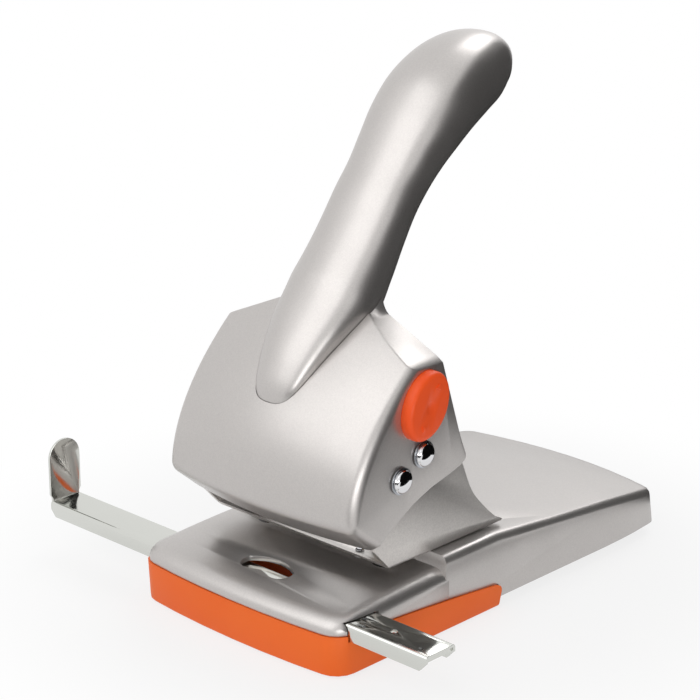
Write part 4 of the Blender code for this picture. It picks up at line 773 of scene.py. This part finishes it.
@dataclass
class LeverHood:
    """The lever's die-cast hood: bowed front, soft folds, and a flared collar round the handle."""

    half_width: float = 0.0634
    wall: float = 0.0020
    fold: float = 0.0050
    lip: Point2 = (0.0140, 0.0550)
    face: Point2 = (-0.0026, 0.0690)
    crest: Point2 = (0.0378, 0.1387)
    face_bow: float = 0.0090
    crown: float = 0.0112
    crown_full_share: float = 0.667
    lip_crown: float = 0.0066
    lip_round: float = 0.0070
    crest_round: float = 0.0022
    roof_fold_share: float = 0.25
    roof_rise: float = 0.0170
    roof_rise_reach: float = 0.0250
    rear_top_y: float = 0.0591
    rear_mid: Point2 = (0.0724, 0.0980)
    rear_low: Point2 = (0.0778, 0.0848)
    rear_wall_low: float = 0.1220
    corner_cut: float = 0.0028
    lower_edge: tuple[Point2, ...] = (
        (0.0186, 0.0590),
        (0.0248, 0.0628),
        (0.0317, 0.0672),
        (0.0397, 0.0716),
        (0.0505, 0.0759),
        (0.0584, 0.0781),
        (0.0668, 0.0802),
        (0.0729, 0.0820),
    )
    station_shares: tuple[float, ...] = (0.10, 0.25, 0.46, 0.52, 0.59, 0.66, 0.73, 0.80, 0.86)
    first_face_share: float = 0.125
    overrun: float = 0.006
    seam: float = 0.0003
    bore_radius: float = 0.0053
    pivot: Point2 = (0.0303, 0.0862)
    press: Point2 = (0.0457, 0.0955)
    edge: float = 0.0009
    button_seam: float = 0.0001
    flare_width: float = 0.0062
    flare_height: float = 0.0105
    flare_start: float = 0.0120
    flare_passes: int = 6
    flare_margin: float = 1.3
    flare_grid: tuple[float, ...] = (0.006, 0.003, 0.0015, 0.0008)
    face_rows: int = 18
    fold_rows: int = 11
    lower_steps: int = 6
    screw_z: float = 0.1335
    screw_hole: float = 0.0026

    def face_y(self, z: float) -> float:
        """The front face in side view at the folds: a line from lip to crest, bowed forwards."""
        share = (z - self.face[1]) / (self.crest[1] - self.face[1])
        line = self.face[0] + (self.crest[0] - self.face[0]) * share
        return line - self.face_bow * 4 * share * (1 - share)

    def crown_depth(self, x: float, z: float) -> float:
        """How far the front stands ahead of the folds, most in the middle."""
        share = (z - self.face[1]) / (self.crest[1] - self.face[1]) / self.crown_full_share
        share = min(max(share, 0), 1)
        depth = self.lip_crown + (self.crown - self.lip_crown) * share
        return depth * (1 - (x / self.half_width) ** 2)

    def path(self, x: float, inset: float) -> list[Point2]:
        """The hood's skin in section: lip, face, crest and roof, upwards.

        Args:
            x: Where the section is.
            inset: How far it is moved inwards.

        Returns:
            The section's points as (y, z).
        """
        reach = min((self.half_width - abs(x)) / (self.half_width - self.roof_rise_reach), 1)
        crest = self.crest[1] + self.roof_rise * reach
        first = self.face[1] + (crest - self.face[1]) * self.first_face_share
        heights = [self.face[1], *spread(first, crest, self.face_rows)]
        face = [(self.face_y(z) - self.crown_depth(x, z), z) for z in heights]
        lip = (self.lip[0] - self.crown_depth(x, self.lip[1]), self.lip[1])
        skin = offset_path([lip, *face], inset)
        crest -= inset * self.roof_fold_share
        last = Vector(skin[-1])
        climb = (last - Vector(skin[-2])).normalized()
        skin[-1] = tuple(last + climb * ((crest - last.y) / climb.y))
        path = [*skin, (self.rear_low[0] + self.overrun, crest)]
        lip_round = self.lip_round**2 / (self.lip_round + inset)
        crest_round = self.crest_round**2 / (self.crest_round + inset)
        radii = [0, lip_round] + [0] * (len(face) - 2) + [crest_round, 0]
        return rounded(path, radii)

    def stations(self, wall: float) -> list[Point2]:
        """The (x, inset) of each section, close together round the side folds."""
        half, fold = self.half_width - wall, self.fold - wall
        right = [
            (half - fold * (1 - math.sin(a)), fold * (1 - math.cos(a)))
            for a in spread(0, math.pi / 2, self.fold_rows)
        ]
        shares = (self.half_width * share for share in self.station_shares)
        middle = sorted({self.roof_rise_reach, *shares})
        half_list = [(0.0, 0.0), *((x, 0.0) for x in middle), *right]
        return [(-x, inset) for x, inset in half_list[:0:-1]] + half_list

    def rear_wall_y(self, z: float) -> float:
        """The rear face of the hood's wall above its opening, in side view."""
        share = (z - self.rear_mid[1]) / (self.crest[1] - self.rear_mid[1])
        return self.rear_mid[0] + (self.rear_top_y - self.rear_mid[0]) * min(share, 1)

    def outside(self) -> bpy.types.Object:
        """The hood's outer form as a solid block."""
        rings = []
        for x, inset in self.stations(0):
            back = self.rear_low[0] + self.overrun
            ring = [*self.path(x, inset), (back, self.lip[1] + inset)]
            rings.append([(x, y, z) for y, z in ring])
        return loft("lever_hood_skin", rings)

    def inside(self) -> bpy.types.Object:
        """The hood's hollow as a solid block."""
        rings = []
        low = self.lip[1] - self.overrun
        back = self.rear_low[0] + 2 * self.overrun
        for x, inset in self.stations(self.wall):
            path = self.path(x, inset + self.wall)
            first = Vector(path[0])
            start = first + (first - Vector(path[1])).normalized() * (self.overrun / 2)
            crest = path[-1][1]
            ring = [(start.x, low), tuple(start), *path[:-1]]
            ring += [
                (self.rear_wall_y(crest) - self.wall, crest),
                (self.rear_wall_y(self.crest[1]) - self.wall, min(crest, self.crest[1]) - self.wall),
                (self.rear_wall_y(self.rear_wall_low) - self.wall, self.rear_wall_low),
                (back, self.rear_wall_low),
                (back, low),
            ]
            rings.append([(x, y, z) for y, z in ring])
        return loft("hood_inside", rings)

    def side_view(self) -> bpy.types.Object:
        """The hood's outline seen along -X, which trims its lower edges and its back."""
        start = (self.lip[0] + self.wall, self.lip[1])
        lower = smooth_through([start, *self.lower_edge], self.lower_steps)
        front = self.face[0] - self.crown - self.overrun
        top = self.crest[1] + self.roof_rise + self.overrun
        bend = [self.lower_edge[-1], self.rear_low, self.rear_mid]
        corner = rounded(bend, (0, self.corner_cut, 0))
        rear = [(self.rear_top_y, self.crest[1]), (self.rear_top_y, top), (front, top)]
        outline = lower + corner[1:] + rear + [(front, self.lip[1])]
        wide = self.half_width + self.overrun
        return prism("hood_side_view", outline, -wide, wide)

    def flare_to(self, hood: bpy.types.Object, handle: Handle) -> None:
        """Raises the roof and the rear wall round the handle into a hollow fillet.

        Args:
            hood: The hood's outer form.
            handle: The handle that passes through it.
        """
        bm = bmesh.new()
        tool = loft("flare_guide", handle.rings(0))
        bm.from_mesh(tool.data)
        tree = BVHTree.FromBMesh(bm)
        bm.free()
        bpy.data.objects.remove(tool, do_unlink=True)
        bm = bmesh.new()
        bm.from_mesh(hood.data)
        roof_low = self.crest[1] - self.fold
        reach = self.flare_width * self.flare_margin

        def near(vert: bmesh.types.BMVert, margin: float) -> bool:
            """Whether a roof vertex lies close to the handle."""
            return vert.co.z > roof_low and tree.find_nearest(vert.co)[3] < margin

        for length in self.flare_grid:
            bmesh.ops.triangulate(bm, faces=[f for f in bm.faces if len(f.verts) > 4])
            longer = [e for e in bm.edges if e.calc_length() > length]
            long_edges = [e for e in longer if any(near(v, reach + e.calc_length()) for v in e.verts)]
            bmesh.ops.subdivide_edges(bm, edges=long_edges, cuts=1, use_grid_fill=True)
        bmesh.ops.triangulate(bm, faces=bm.faces)
        for vert in bm.verts:
            if vert.co.z >= roof_low:
                vert.co.z += self.flare_rise(vert.co.copy(), tree)
        bm.to_mesh(hood.data)
        bm.free()

    def flare_rise(self, start: Vector, tree: BVHTree) -> float:
        """How far a point of the roof rises into the fillet.

        Args:
            start: The point.
            tree: The handle's surface.

        Returns:
            The rise. It follows the handle's flank, which leans out over the roof.
        """
        front = self.path(start.x, 0)[-2][0]
        ahead = min(max((start.y - front) / self.flare_start, 0), 1)
        ahead = ahead**2 * (3 - 2 * ahead)
        rise = 0.0
        for _ in range(self.flare_passes):
            point = start + Vector((0, 0, rise))
            place, normal, _, distance = tree.find_nearest(point)
            gap = 0.0 if (point - place).dot(normal) < 0 else min(distance / self.flare_width, 1)
            rise = self.flare_height * (1 - math.sqrt(1 - (1 - gap) ** 2)) * ahead
        return rise

    def build(self, handle: Handle, button: "LockButton") -> bpy.types.Object:
        """Builds and dresses the hood.

        Args:
            handle: The handle that it holds.
            button: The lock button in its side.

        Returns:
            The dressed hood.
        """
        hood = self.outside()
        self.flare_to(hood, handle)
        combined(hood, self.inside(), Operation.CUT)
        combined(hood, self.side_view(), Operation.TRIM)
        softened(hood, self.edge, segments=3, angle=40)
        wide = self.half_width + self.overrun
        for y, z in (self.pivot, self.press):
            bore = rod("hood_bore", self.bore_radius, (-wide, y, z), (wide, y, z))
            combined(hood, bore, Operation.CUT)
        outline = button.outline(self.button_seam)
        hole = prism("button_hole", outline, self.half_width - 2 * self.wall, wide)
        combined(hood, hole, Operation.CUT)
        self.drill(hood, handle)
        combined(hood, loft("handle_seat", handle.rings(self.seam)), Operation.CUT)
        smooth(hood)
        return dress(hood, Body.LEVER, SILVER, ["lever_hood"])

    def drill(self, hood: bpy.types.Object, handle: Handle) -> None:
        """Cuts the three screw holes in the rear wall.

        Args:
            hood: The hood so far.
            handle: The handle, which says how far apart they are.
        """
        outward = self.rear_outward()
        for sign in (-1, 0, 1):
            middle = Vector((sign * handle.screw_x, *self.screw_face()))
            reach = outward * (self.wall * 2)
            hole = rod("screw_hole", self.screw_hole, middle - reach, middle + reach, HOLE_STEPS)
            combined(hood, hole, Operation.CUT)

    def rear_outward(self) -> Vector:
        """The rear wall's direction, out of the hood."""
        lean = math.atan2(self.rear_mid[0] - self.rear_top_y, self.crest[1] - self.rear_mid[1])
        return Vector((0, math.cos(lean), math.sin(lean)))

    def screw_face(self) -> Point2:
        """Where the handle's middle screw meets the rear wall, as (y, z)."""
        return (self.rear_wall_y(self.screw_z), self.screw_z)


@dataclass
class LockButton:
    """The oval push button in the hood's right side, with its two raised arrows and a dimple."""

    centre: Point2 = (0.04470, 0.12028)
    long: float = 0.0173
    short: float = 0.0132
    tilt: float = math.radians(29)
    back: float = 0.0632
    proud: float = 0.0063
    pocket: Point2 = (0.04964, 0.12920)
    pocket_radius: float = 0.0038
    pocket_end: float = 0.0677
    round: float = 0.0030
    dimple_radius: float = 0.0036
    dimple_depth: float = 0.0009
    arrow_place: float = 0.0108
    arrow_size: float = 0.0024
    arrow_height: float = 0.0005
    arrow_half_share: float = 0.75
    edge: float = 0.00012
    sides: int = 96
    rows: int = 9

    def turned(self, along: float, across: float) -> Point2:
        """Where a point of the oval lies, as (y, z).

        Args:
            along: Its place along the oval's long axis.
            across: Its place along the short axis.

        Returns:
            The place as (y, z).
        """
        y, z = self.centre
        sine, cosine = math.sin(self.tilt), math.cos(self.tilt)
        return (y + along * sine + across * cosine, z + along * cosine - across * sine)

    def outline(self, grow: float) -> list[Point2]:
        """The oval's outline, grown a little for its hole."""
        ring = circle_points(1, self.sides)
        return [self.turned((self.long + grow) * x, (self.short + grow) * y) for x, y in ring]

    def rings(self) -> list[list[Point3]]:
        """The button's sections, from its dimple out to its rim and down to its back.

        Returns:
            The sections. The dimple is round and the rim follows the oval.
        """
        top, squeeze = self.back + self.proud, self.short / self.long
        sections = [(0.0, top - self.dimple_depth, 1.0)]
        for s in spread(0.1, 1, self.rows):
            sections.append((self.dimple_radius * s, top - self.dimple_depth * (1 - s**2), 1.0))
        for a in spread(0, math.pi / 2, self.rows):
            radius = self.long - self.round * (1 - math.sin(a))
            sections.append((radius, top - self.round * (1 - math.cos(a)), squeeze))
        sections += [(self.long, self.back, squeeze), (0.0, self.back, 1.0)]
        rings = []
        for radius, x, share in sections:
            ring = circle_points(radius, self.sides) if radius > MERGE else [(0.0, 0.0)]
            rings.append([(x, *self.turned(along, across * share)) for along, across in ring])
        return rings

    def build(self) -> None:
        """Builds and dresses the button."""
        button = loft("lock_button_skin", self.rings())
        face = self.back + self.proud
        half = self.arrow_size * self.arrow_half_share
        for sign in (-1, 1):
            tip = sign * (self.arrow_place + self.arrow_size / 2)
            base = sign * (self.arrow_place - self.arrow_size / 2)
            corners = [self.turned(tip, 0), self.turned(base, half), self.turned(base, -half)]
            arrow = prism("arrow", corners, face - self.dimple_depth, face + self.arrow_height)
            combined(button, arrow, Operation.JOIN)
        start, end = (self.back - self.round, *self.pocket), (self.pocket_end, *self.pocket)
        combined(button, rod("spring_pocket", self.pocket_radius, start, end), Operation.CUT)
        softened(button, self.edge)
        dress(button, Body.LOCK, BUTTON_ORANGE, ["lock_button"])


@dataclass
class Caps:
    """The domed caps pushed on the ends of the pivot axle and the press shaft."""

    inner: float = 0.0649
    radius: float = 0.0060
    height: float = 0.0030
    rim: float = 0.0007
    rim_round: float = 0.0003
    bore: float = 0.0050
    bore_depth: float = 0.0016
    dome_steps: int = 14
    dome_angle: float = math.radians(84)
    places: tuple[tuple[str, Body, Point2], ...] = (
        ("pivot_cap", Body.BASE, (0.0303, 0.0862)),
        ("press_cap", Body.LEVER, (0.0457, 0.0955)),
    )

    def profile(self) -> list[Point2]:
        """The cap's half section, from the middle of its dome round to its bore."""
        across = self.radius - self.rim_round
        rise = self.height - self.rim
        dome = [
            (across * math.sin(a), self.rim + rise * math.cos(a))
            for a in spread(0, self.dome_angle, self.dome_steps)
        ]
        foot = [(self.radius, self.rim), (self.radius, 0.0), (self.bore, 0.0)]
        return [*dome, *foot, (self.bore, self.bore_depth), (0.0, self.bore_depth)]

    def build(self) -> None:
        """Builds and dresses the four caps."""
        for stem, body, (y, z) in self.places:
            for side in Side:
                axis = Axis.RIGHT if side is Side.RIGHT else Axis.LEFT
                place = (side.value * self.inner, y, z)
                cap = revolved(f"{stem}_{side.word}_skin", self.profile(), place, axis)
                dress(smooth(cap), body, CHROME, [f"{stem}_{side.word}"])


class NodeShape:
    """A shape made by Geometry Nodes and turned into one plain mesh."""

    def __init__(self, name: str, sizes: Sequence[str]) -> None:
        """Starts a tree with named inputs.

        Args:
            name: The shape's name.
            sizes: The names of its inputs.
        """
        self.name = name
        self.tree = bpy.data.node_groups.new(name, "GeometryNodeTree")
        new_socket = self.tree.interface.new_socket
        for side in ("INPUT", "OUTPUT"):
            new_socket("Geometry", in_out=side, socket_type="NodeSocketGeometry")
        sockets = {size: new_socket(size, socket_type="NodeSocketFloat") for size in sizes}
        self.identifiers = {size: socket.identifier for size, socket in sockets.items()}
        self.inputs = self.tree.nodes.new("NodeGroupInput").outputs

    def finish(self, solid: bpy.types.Node, turn: bpy.types.Node, finish: FinishBase) -> None:
        """Ends the tree: the solid on every point, as real geometry in one material.

        Args:
            solid: The solid.
            turn: The turn of each copy.
            finish: The finish that it shows.
        """
        add = partial(add_node, self.tree)
        stands = {"Points": self.inputs["Geometry"], "Instance": solid, "Rotation": turn}
        real = add("GeometryNodeRealizeInstances", (add("GeometryNodeInstanceOnPoints", stands),))
        dressed = {"Geometry": real, "Material": finish.material()}
        add("NodeGroupOutput", {"Geometry": add("GeometryNodeSetMaterial", dressed)})

    def made(
        self, name: str, points: Sequence[Point3], sizes: dict[str, float]
    ) -> bpy.types.Object:
        """Runs the tree on points and keeps the result as a plain mesh.

        Args:
            name: The object's name.
            points: The points that the tree starts from.
            sizes: The values of its named inputs.

        Returns:
            The new object.
        """
        bm = bmesh.new()
        for point in points:
            bm.verts.new(point)
        obj = new_object(name, bm)
        modifier = obj.modifiers.new(self.name, "NODES")
        modifier.node_group = self.tree
        for key, value in sizes.items():
            modifier[self.identifiers[key]] = value
        return settled(obj)


@dataclass
class Screws:
    """Dome-headed screws with a hex socket. One tree makes every screw of the punch."""

    head_radius: float = 0.0042
    head_height: float = 0.0024
    shank_radius: float = 0.0020
    socket_radius: float = 0.0016
    socket_depth: float = 0.0010
    length: float = 0.0100
    sunk_share: float = 0.45
    saddle_length: float = 0.0074
    seat_gap: float = 0.0001
    frame_x: float = 0.0480
    frame_ys: Point2 = (0.0700, 0.0980)
    frame_z: float = 0.0433
    saddle: Point3 = (0.0400, 0.0145, 0.0162)
    segments: int = 36
    dome_rings: int = 24

    def sizes(self) -> dict[str, float]:
        """The tree's named inputs, for a screw that stands upright in the frame."""
        return {
            "Head Radius": self.head_radius,
            "Head Height": self.head_height,
            "Shank Radius": self.shank_radius,
            "Length": self.length,
            "Socket Radius": self.socket_radius,
            "Socket Depth": self.socket_depth,
            "Turn": 0.0,
        }

    def shape(self) -> NodeShape:
        """Builds the screw's tree: a lens-shaped head on a shank, less a six-sided socket.

        Returns:
            The shape.
        """
        shape = NodeShape("dome_screw", list(self.sizes()))
        add = partial(add_node, shape.tree)
        given = shape.inputs
        radius, rise, length = given["Head Radius"], given["Head Height"], given["Length"]
        round_sides = {"Vertices": self.segments}

        def moved(solid: bpy.types.Node, distance: bpy.types.NodeSocket, share: float) -> bpy.types.Node:
            """A solid moved up by a share of a distance."""
            up = add(VECTOR, {"Z": add(MATH, (distance, share), operation="MULTIPLY")})
            return add(TRANSFORM, {"Geometry": solid, "Translation": up})

        double = add(MATH, (rise, 2.0), operation="MULTIPLY")
        sphere = {"Segments": self.segments, "Rings": self.dome_rings, "Radius": 1.0}
        ball = add("GeometryNodeMeshUVSphere", sphere)
        size = add(VECTOR, (radius, radius, double))
        ball = moved(add(TRANSFORM, {"Geometry": ball, "Scale": size}), rise, -1.0)
        above = moved(add(CYLINDER, {**round_sides, "Radius": radius, "Depth": double}), rise, 1.0)
        lens = {"Mesh 2": [ball, above]}
        dome = add(BOOLEAN, lens, operation=Operation.TRIM.value, solver="EXACT")
        shank = {**round_sides, "Radius": given["Shank Radius"], "Depth": length}
        shank = moved(add(CYLINDER, shank), length, -self.sunk_share)
        both = {"Mesh 2": [shank, dome]}
        screw = add(BOOLEAN, both, operation=Operation.JOIN.value, solver="EXACT")
        deep = add(MATH, (given["Socket Depth"], 2.0), operation="MULTIPLY")
        key = {"Vertices": 6, "Radius": given["Socket Radius"], "Depth": deep}
        socketed = {"Mesh 1": screw, "Mesh 2": moved(add(CYLINDER, key), rise, 1.0)}
        screw = add(BOOLEAN, socketed, operation=Operation.CUT.value, solver="EXACT")
        shape.finish(screw, add(VECTOR, {"X": given["Turn"]}), ZINC)
        return shape

    def build(self, hood: LeverHood, handle: Handle) -> None:
        """Builds and dresses the frame's, the saddle's and the handle's screws.

        Args:
            hood: The hood, whose rear wall the handle's screws go through.
            handle: The handle that they hold.
        """
        shape = self.shape()
        x, y, z = self.saddle
        outward = hood.rear_outward()
        face = Vector((0, *hood.screw_face())) + outward * self.seat_gap
        lean = math.atan2(outward.z, outward.y) - math.pi / 2
        frame_seats = [(s.value * self.frame_x, y, self.frame_z) for s in Side for y in self.frame_ys]
        frame_names = [f"frame_screw_{row}_{s.word}" for row in ("front", "rear") for s in Side]
        saddle_seats = [(s.value * x, y, z) for s in Side]
        saddle_names = [f"saddle_screw_{s.word}" for s in Side]
        rear_seats = [(sign * handle.screw_x, face.y, face.z) for sign in (-1, 0, 1)]
        rear_names = [f"handle_screw_{word}" for word in ("left", "middle", "right")]
        down = {"Turn": math.pi, "Length": self.saddle_length}
        for name, body, seats, changes, nodes in (
            ("frame_screws_skin", Body.BASE, frame_seats, {}, frame_names),
            ("saddle_screws_skin", Body.BASE, saddle_seats, down, saddle_names),
            ("handle_screws_skin", Body.LEVER, rear_seats, {"Turn": lean}, rear_names),
        ):
            screws = shape.made(name, seats, {**self.sizes(), **changes})
            dress(smooth(screws), body, ZINC, nodes)


@dataclass
class Springs:
    """The two return springs round the punches and the lock's small spring."""

    radius: float = 0.0055
    wire: float = 0.0008
    turns: float = 7.0
    x: float = 0.0400
    y: float = 0.0457
    low: float = 0.0554
    high: float = 0.0846
    fixed_z: float = 0.0553
    travel: float = 0.0115
    lock_radius: float = 0.0027
    lock_wire: float = 0.0003
    lock_turns: float = 4.0
    lock_start: Point3 = (0.06144, 0.04964, 0.12920)
    lock_length: float = 0.00582
    lock_fixed_x: float = 0.0614
    lock_travel: float = 0.0020
    steps: int = 28
    wire_sides: int = 10
    names: tuple[str, ...] = ("Coil Radius", "Wire Radius", "Turns", "Height", "Turn")

    def shape(self) -> NodeShape:
        """Builds the coil's tree: a round wire along a spiral, standing at each point.

        Returns:
            The shape.
        """
        shape = NodeShape("wire_coil", self.names)
        add = partial(add_node, shape.tree)
        radius, wire, turns, height, turn = (shape.inputs[name] for name in self.names)
        path = {"Resolution": self.steps, "Rotations": turns, "Height": height}
        spiral = add("GeometryNodeCurveSpiral", {**path, "Start Radius": radius, "End Radius": radius})
        section = {"Resolution": self.wire_sides, "Radius": wire}
        ring = add("GeometryNodeCurvePrimitiveCircle", section)
        tube = {"Curve": spiral, "Profile Curve": ring, "Fill Caps": True}
        angle = add(VECTOR, {"Y": turn})
        shape.finish(add("GeometryNodeCurveToMesh", tube), angle, GROUND_STEEL)
        return shape

    def build(self) -> None:
        """Builds and dresses the three springs, each with a mesh of its own."""
        shape = self.shape()
        height = self.high - self.low - 2 * self.wire
        coil = dict(zip(self.names, (self.radius, self.wire, self.turns, height, 0.0)))
        for side in Side:
            x = side.value * self.x
            name = f"return_spring_{side.word}"
            spring = shape.made(f"{name}_skin", [(x, self.y, self.low + self.wire)], coil)
            dress(smooth(spring), Body.BASE, GROUND_STEEL, [name])
            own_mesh(spring)
        x, y, z = self.lock_start
        height = self.lock_length - 2 * self.lock_wire
        small = (self.lock_radius, self.lock_wire, self.lock_turns, height, math.pi / 2)
        start = (x + self.lock_wire, y, z)
        spring = shape.made("lock_spring_skin", [start], dict(zip(self.names, small)))
        dress(smooth(spring), Body.LEVER, GROUND_STEEL, ["lock_spring"])
        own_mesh(spring)


@dataclass
class CadPieces:
    """Pieces that keep the shape of their solid, with softened edges and a real finish."""

    table: tuple[tuple[str, Body, FinishBase, float], ...] = (
        ("base_casting", Body.BASE, SILVER, 0.0004),
        ("chip_tray", Body.TRAY, ORANGE, 0.0003),
        ("guide_bar", Body.GUIDE, NICKEL, 0.00025),
        ("punch_frame", Body.BASE, BRACKET_SILVER, 0.0004),
        ("bar_saddle", Body.BASE, NYLON, 0.0003),
        ("bar_leaf_spring", Body.BASE, GROUND_STEEL, 0.0),
        ("pivot_axle", Body.BASE, GROUND_STEEL, 0.0002),
        ("press_shaft", Body.LEVER, GROUND_STEEL, 0.0002),
        ("lock_pin", Body.LOCK, GROUND_STEEL, 0.0002),
        ("lock_clip", Body.LEVER, ZINC, 0.0001),
        ("front_foot_middle", Body.TRAY, RUBBER, 0.0002),
    )
    paired: tuple[tuple[str, Body, FinishBase, float], ...] = (
        ("die", Body.BASE, GROUND_STEEL, 0.0001),
        ("frame_rivet", Body.BASE, CHROME, 0.0001),
        ("guide_bush", Body.BASE, BRONZE, 0.0002),
        ("pivot_washer", Body.BASE, ZINC, 0.0001),
        ("press_washer", Body.LEVER, ZINC, 0.0001),
        ("rear_foot", Body.BASE, RUBBER, 0.0002),
        ("tray_hinge_pin", Body.TRAY, ZINC, 0.0001),
        ("front_foot", Body.TRAY, RUBBER, 0.0002),
    )

    def build(self) -> None:
        """Dresses every piece in both tables."""
        for row in self.table:
            dress_node(*row)
        for stem, *rest in self.paired:
            for side in Side:
                dress_node(f"{stem}_{side.word}", *rest)
        for side in Side:
            body = Body[f"PUNCH_{side.name}"]
            dress_node(f"punch_{side.word}", body, GROUND_STEEL, 0.0001)
            dress_node(f"punch_collar_{side.word}", body, ZINC, 0.0002)


def seen(tree: bpy.types.NodeTree) -> bpy.types.Node:
    """Adds nodes that give 1 where a camera, glossy or transmission ray arrives, and 0 for light.

    Args:
        tree: The node tree that asks.

    Returns:
        The node with the answer.
    """
    rays = add_node(tree, "ShaderNodeLightPath").outputs
    answer = rays["Is Camera Ray"]
    for name in ("Is Glossy Ray", "Is Transmission Ray"):
        answer = add_node(tree, MATH, (answer, rays[name]), operation="MAXIMUM")
    return answer


@dataclass(frozen=True)
class BlackFelt(FinishBase):
    """Black felt on the studio's cards. The eye sees almost nothing come back."""

    name: str = "black_felt"
    colour: str = "101010"

    def build(self, canvas: Canvas) -> None:
        """Sets the felt's shader."""
        felt = {"Base Color": linear(self.colour), "Roughness": 1.0, "Specular IOR Level": 0.0}
        feed(canvas.shader, felt)


@dataclass(frozen=True)
class PaleFloor(FinishBase):
    """Pale card with the punch's soft shadow, turning to plain white further out."""

    name: str = "pale_floor"
    colour: str = "E8E8E8"
    middle: Point3 = (0.0, 0.10, 0.0)
    white_from: float = 0.12
    white_to: float = 0.27
    white_least: float = 0.80

    def build(self, canvas: Canvas) -> None:
        """Adds the floor's nodes.

        Args:
            canvas: The material.
        """
        add = partial(add_node, canvas.tree)
        card = {"Base Color": linear(self.colour), "Roughness": 0.9, "Specular IOR Level": 0.1}
        feed(canvas.shader, card)
        away = add("ShaderNodeVectorMath", (canvas.place, self.middle), operation="DISTANCE")
        reach = (away.outputs["Value"], self.white_from, self.white_to, self.white_least, 1.0)
        white = add(RANGE, reach, interpolation_type="SMOOTHSTEP")
        share = add(MATH, (white, seen(canvas.tree)), operation="MULTIPLY")
        glow = add("ShaderNodeEmission", {"Color": WHITE, "Strength": 1.0})
        mix = add("ShaderNodeMixShader", (share, canvas.shader, glow))
        feed(canvas.tree.nodes["Material Output"], {"Surface": mix})


@dataclass
class Studio:
    """The pale floor, the soft lights, the dark cards and the camera at the photograph's angle."""

    camera_place: Point3 = (0.72426, -0.69093, 0.47788)
    azimuth: float = math.radians(43.88)
    elevation: float = math.radians(18.49)
    lens: float = 115.45
    sensor: float = 36.0
    floor: tuple[Point3, ...] = ((-6.0, -6.0, 0.0), (6.0, -6.0, 0.0), (6.0, 6.0, 0.0), (-6.0, 6.0, 0.0))
    room_light: float = 0.42
    lights: tuple[tuple[str, Point3, Point2, float], ...] = (
        ("key_light", (-0.25, -1.35, 1.60), (2.4, 1.9), 15.0),
        ("side_light", (1.4, -0.9, 0.2), (0.9, 0.35), 4.6),
        ("top_light", (-0.3, 1.45, 1.75), (1.2, 1.2), 13.0),
    )
    aim: Point3 = (0.0, 0.07, 0.10)
    # Dark cards behind and to the right of the punch are seen only in glossy reflections. They put
    # painted dark reflections on its flanks
    cards: tuple[tuple[Point3, ...], ...] = (
        ((-0.6, 0.27, 0.003), (1.9, 0.27, 0.003), (1.9, 2.2, 0.003), (-0.6, 2.2, 0.003)),
        ((0.22, 0.02, 0.003), (1.9, 0.02, 0.003), (1.9, 0.27, 0.003), (0.22, 0.27, 0.003)),
        ((0.20, -1.6, 0.003), (1.9, -1.6, 0.003), (1.9, -0.14, 0.003), (0.20, -0.14, 0.003)),
        ((-0.4, 2.0, 0.0), (1.9, -0.3, 0.0), (1.9, -0.3, 2.0), (-0.4, 2.0, 2.0)),
    )

    def build(self) -> None:
        """Builds the floor, the cards, the lights, the world and the camera."""
        self.sheet("floor", self.floor, PaleFloor())
        for i, corners in enumerate(self.cards):
            card = self.sheet(f"dark_card_{i}", corners, BlackFelt())
            card.visible_camera = False
            card.visible_shadow = False
            card.visible_diffuse = False
        for name, place, size, power in self.lights:
            lamp = bpy.data.lights.new(name, "AREA")
            lamp.shape = "RECTANGLE"
            lamp.size, lamp.size_y = size
            lamp.energy = power
            towards = Vector(self.aim) - Vector(place)
            self.hung(bpy.data.objects.new(name, lamp), place, towards)
        self.build_world()
        data = bpy.data.cameras.new("camera")
        data.lens = self.lens
        data.sensor_width = self.sensor
        camera = bpy.data.objects.new("camera", data)
        level, drop = math.cos(self.elevation), math.sin(self.elevation)
        ahead = (-math.sin(self.azimuth) * level, math.cos(self.azimuth) * level, -drop)
        self.hung(camera, self.camera_place, Vector(ahead))
        bpy.context.scene.camera = camera

    @staticmethod
    def hung(obj: bpy.types.Object, place: Point3, towards: Vector) -> None:
        """Hangs a light or the camera in the studio.

        Args:
            obj: The light or the camera.
            place: Where it hangs.
            towards: Where it looks.
        """
        obj.location = place
        obj.rotation_euler = towards.to_track_quat("-Z", "Y").to_euler()
        bpy.context.scene.collection.objects.link(obj)

    @staticmethod
    def sheet(name: str, corners: Sequence[Point3], finish: FinishBase) -> bpy.types.Object:
        """A flat sheet of the studio.

        Args:
            name: The object's name.
            corners: Its corners.
            finish: Its finish.

        Returns:
            The new object, which isn't part of the punch.
        """
        mesh = bpy.data.meshes.new(name)
        mesh.from_pydata(corners, [], [range(len(corners))])
        mesh.materials.append(finish.material())
        sheet = bpy.data.objects.new(name, mesh)
        bpy.context.scene.collection.objects.link(sheet)
        return sheet

    def build_world(self) -> None:
        """A dim grey room that the camera and mirror-like surfaces see as white."""
        world = bpy.data.worlds.new("studio")
        bpy.context.scene.world = world
        world.use_nodes = True
        tree = world.node_tree
        strength = add_node(tree, RANGE, {"Value": seen(tree), "To Min": self.room_light, "To Max": 1.0})
        feed(tree.nodes["Background"], {"Color": WHITE, "Strength": strength})


def main() -> None:
    """Builds the dressed punch and its studio, piece by piece."""
    logging.basicConfig(level=logging.INFO, format="%(name)s: %(message)s")
    bpy.context.scene.view_settings.view_transform = "Standard"
    handle, hood, button = Handle(), LeverHood(), LockButton()
    handle.build(hood.screw_face(), hood.rear_outward())
    button.build()
    hood.build(handle, button)
    Caps().build()
    Screws().build(hood, handle)
    Springs().build()
    CadPieces().build()
    Studio().build()


if __name__ == "__main__":
    main()
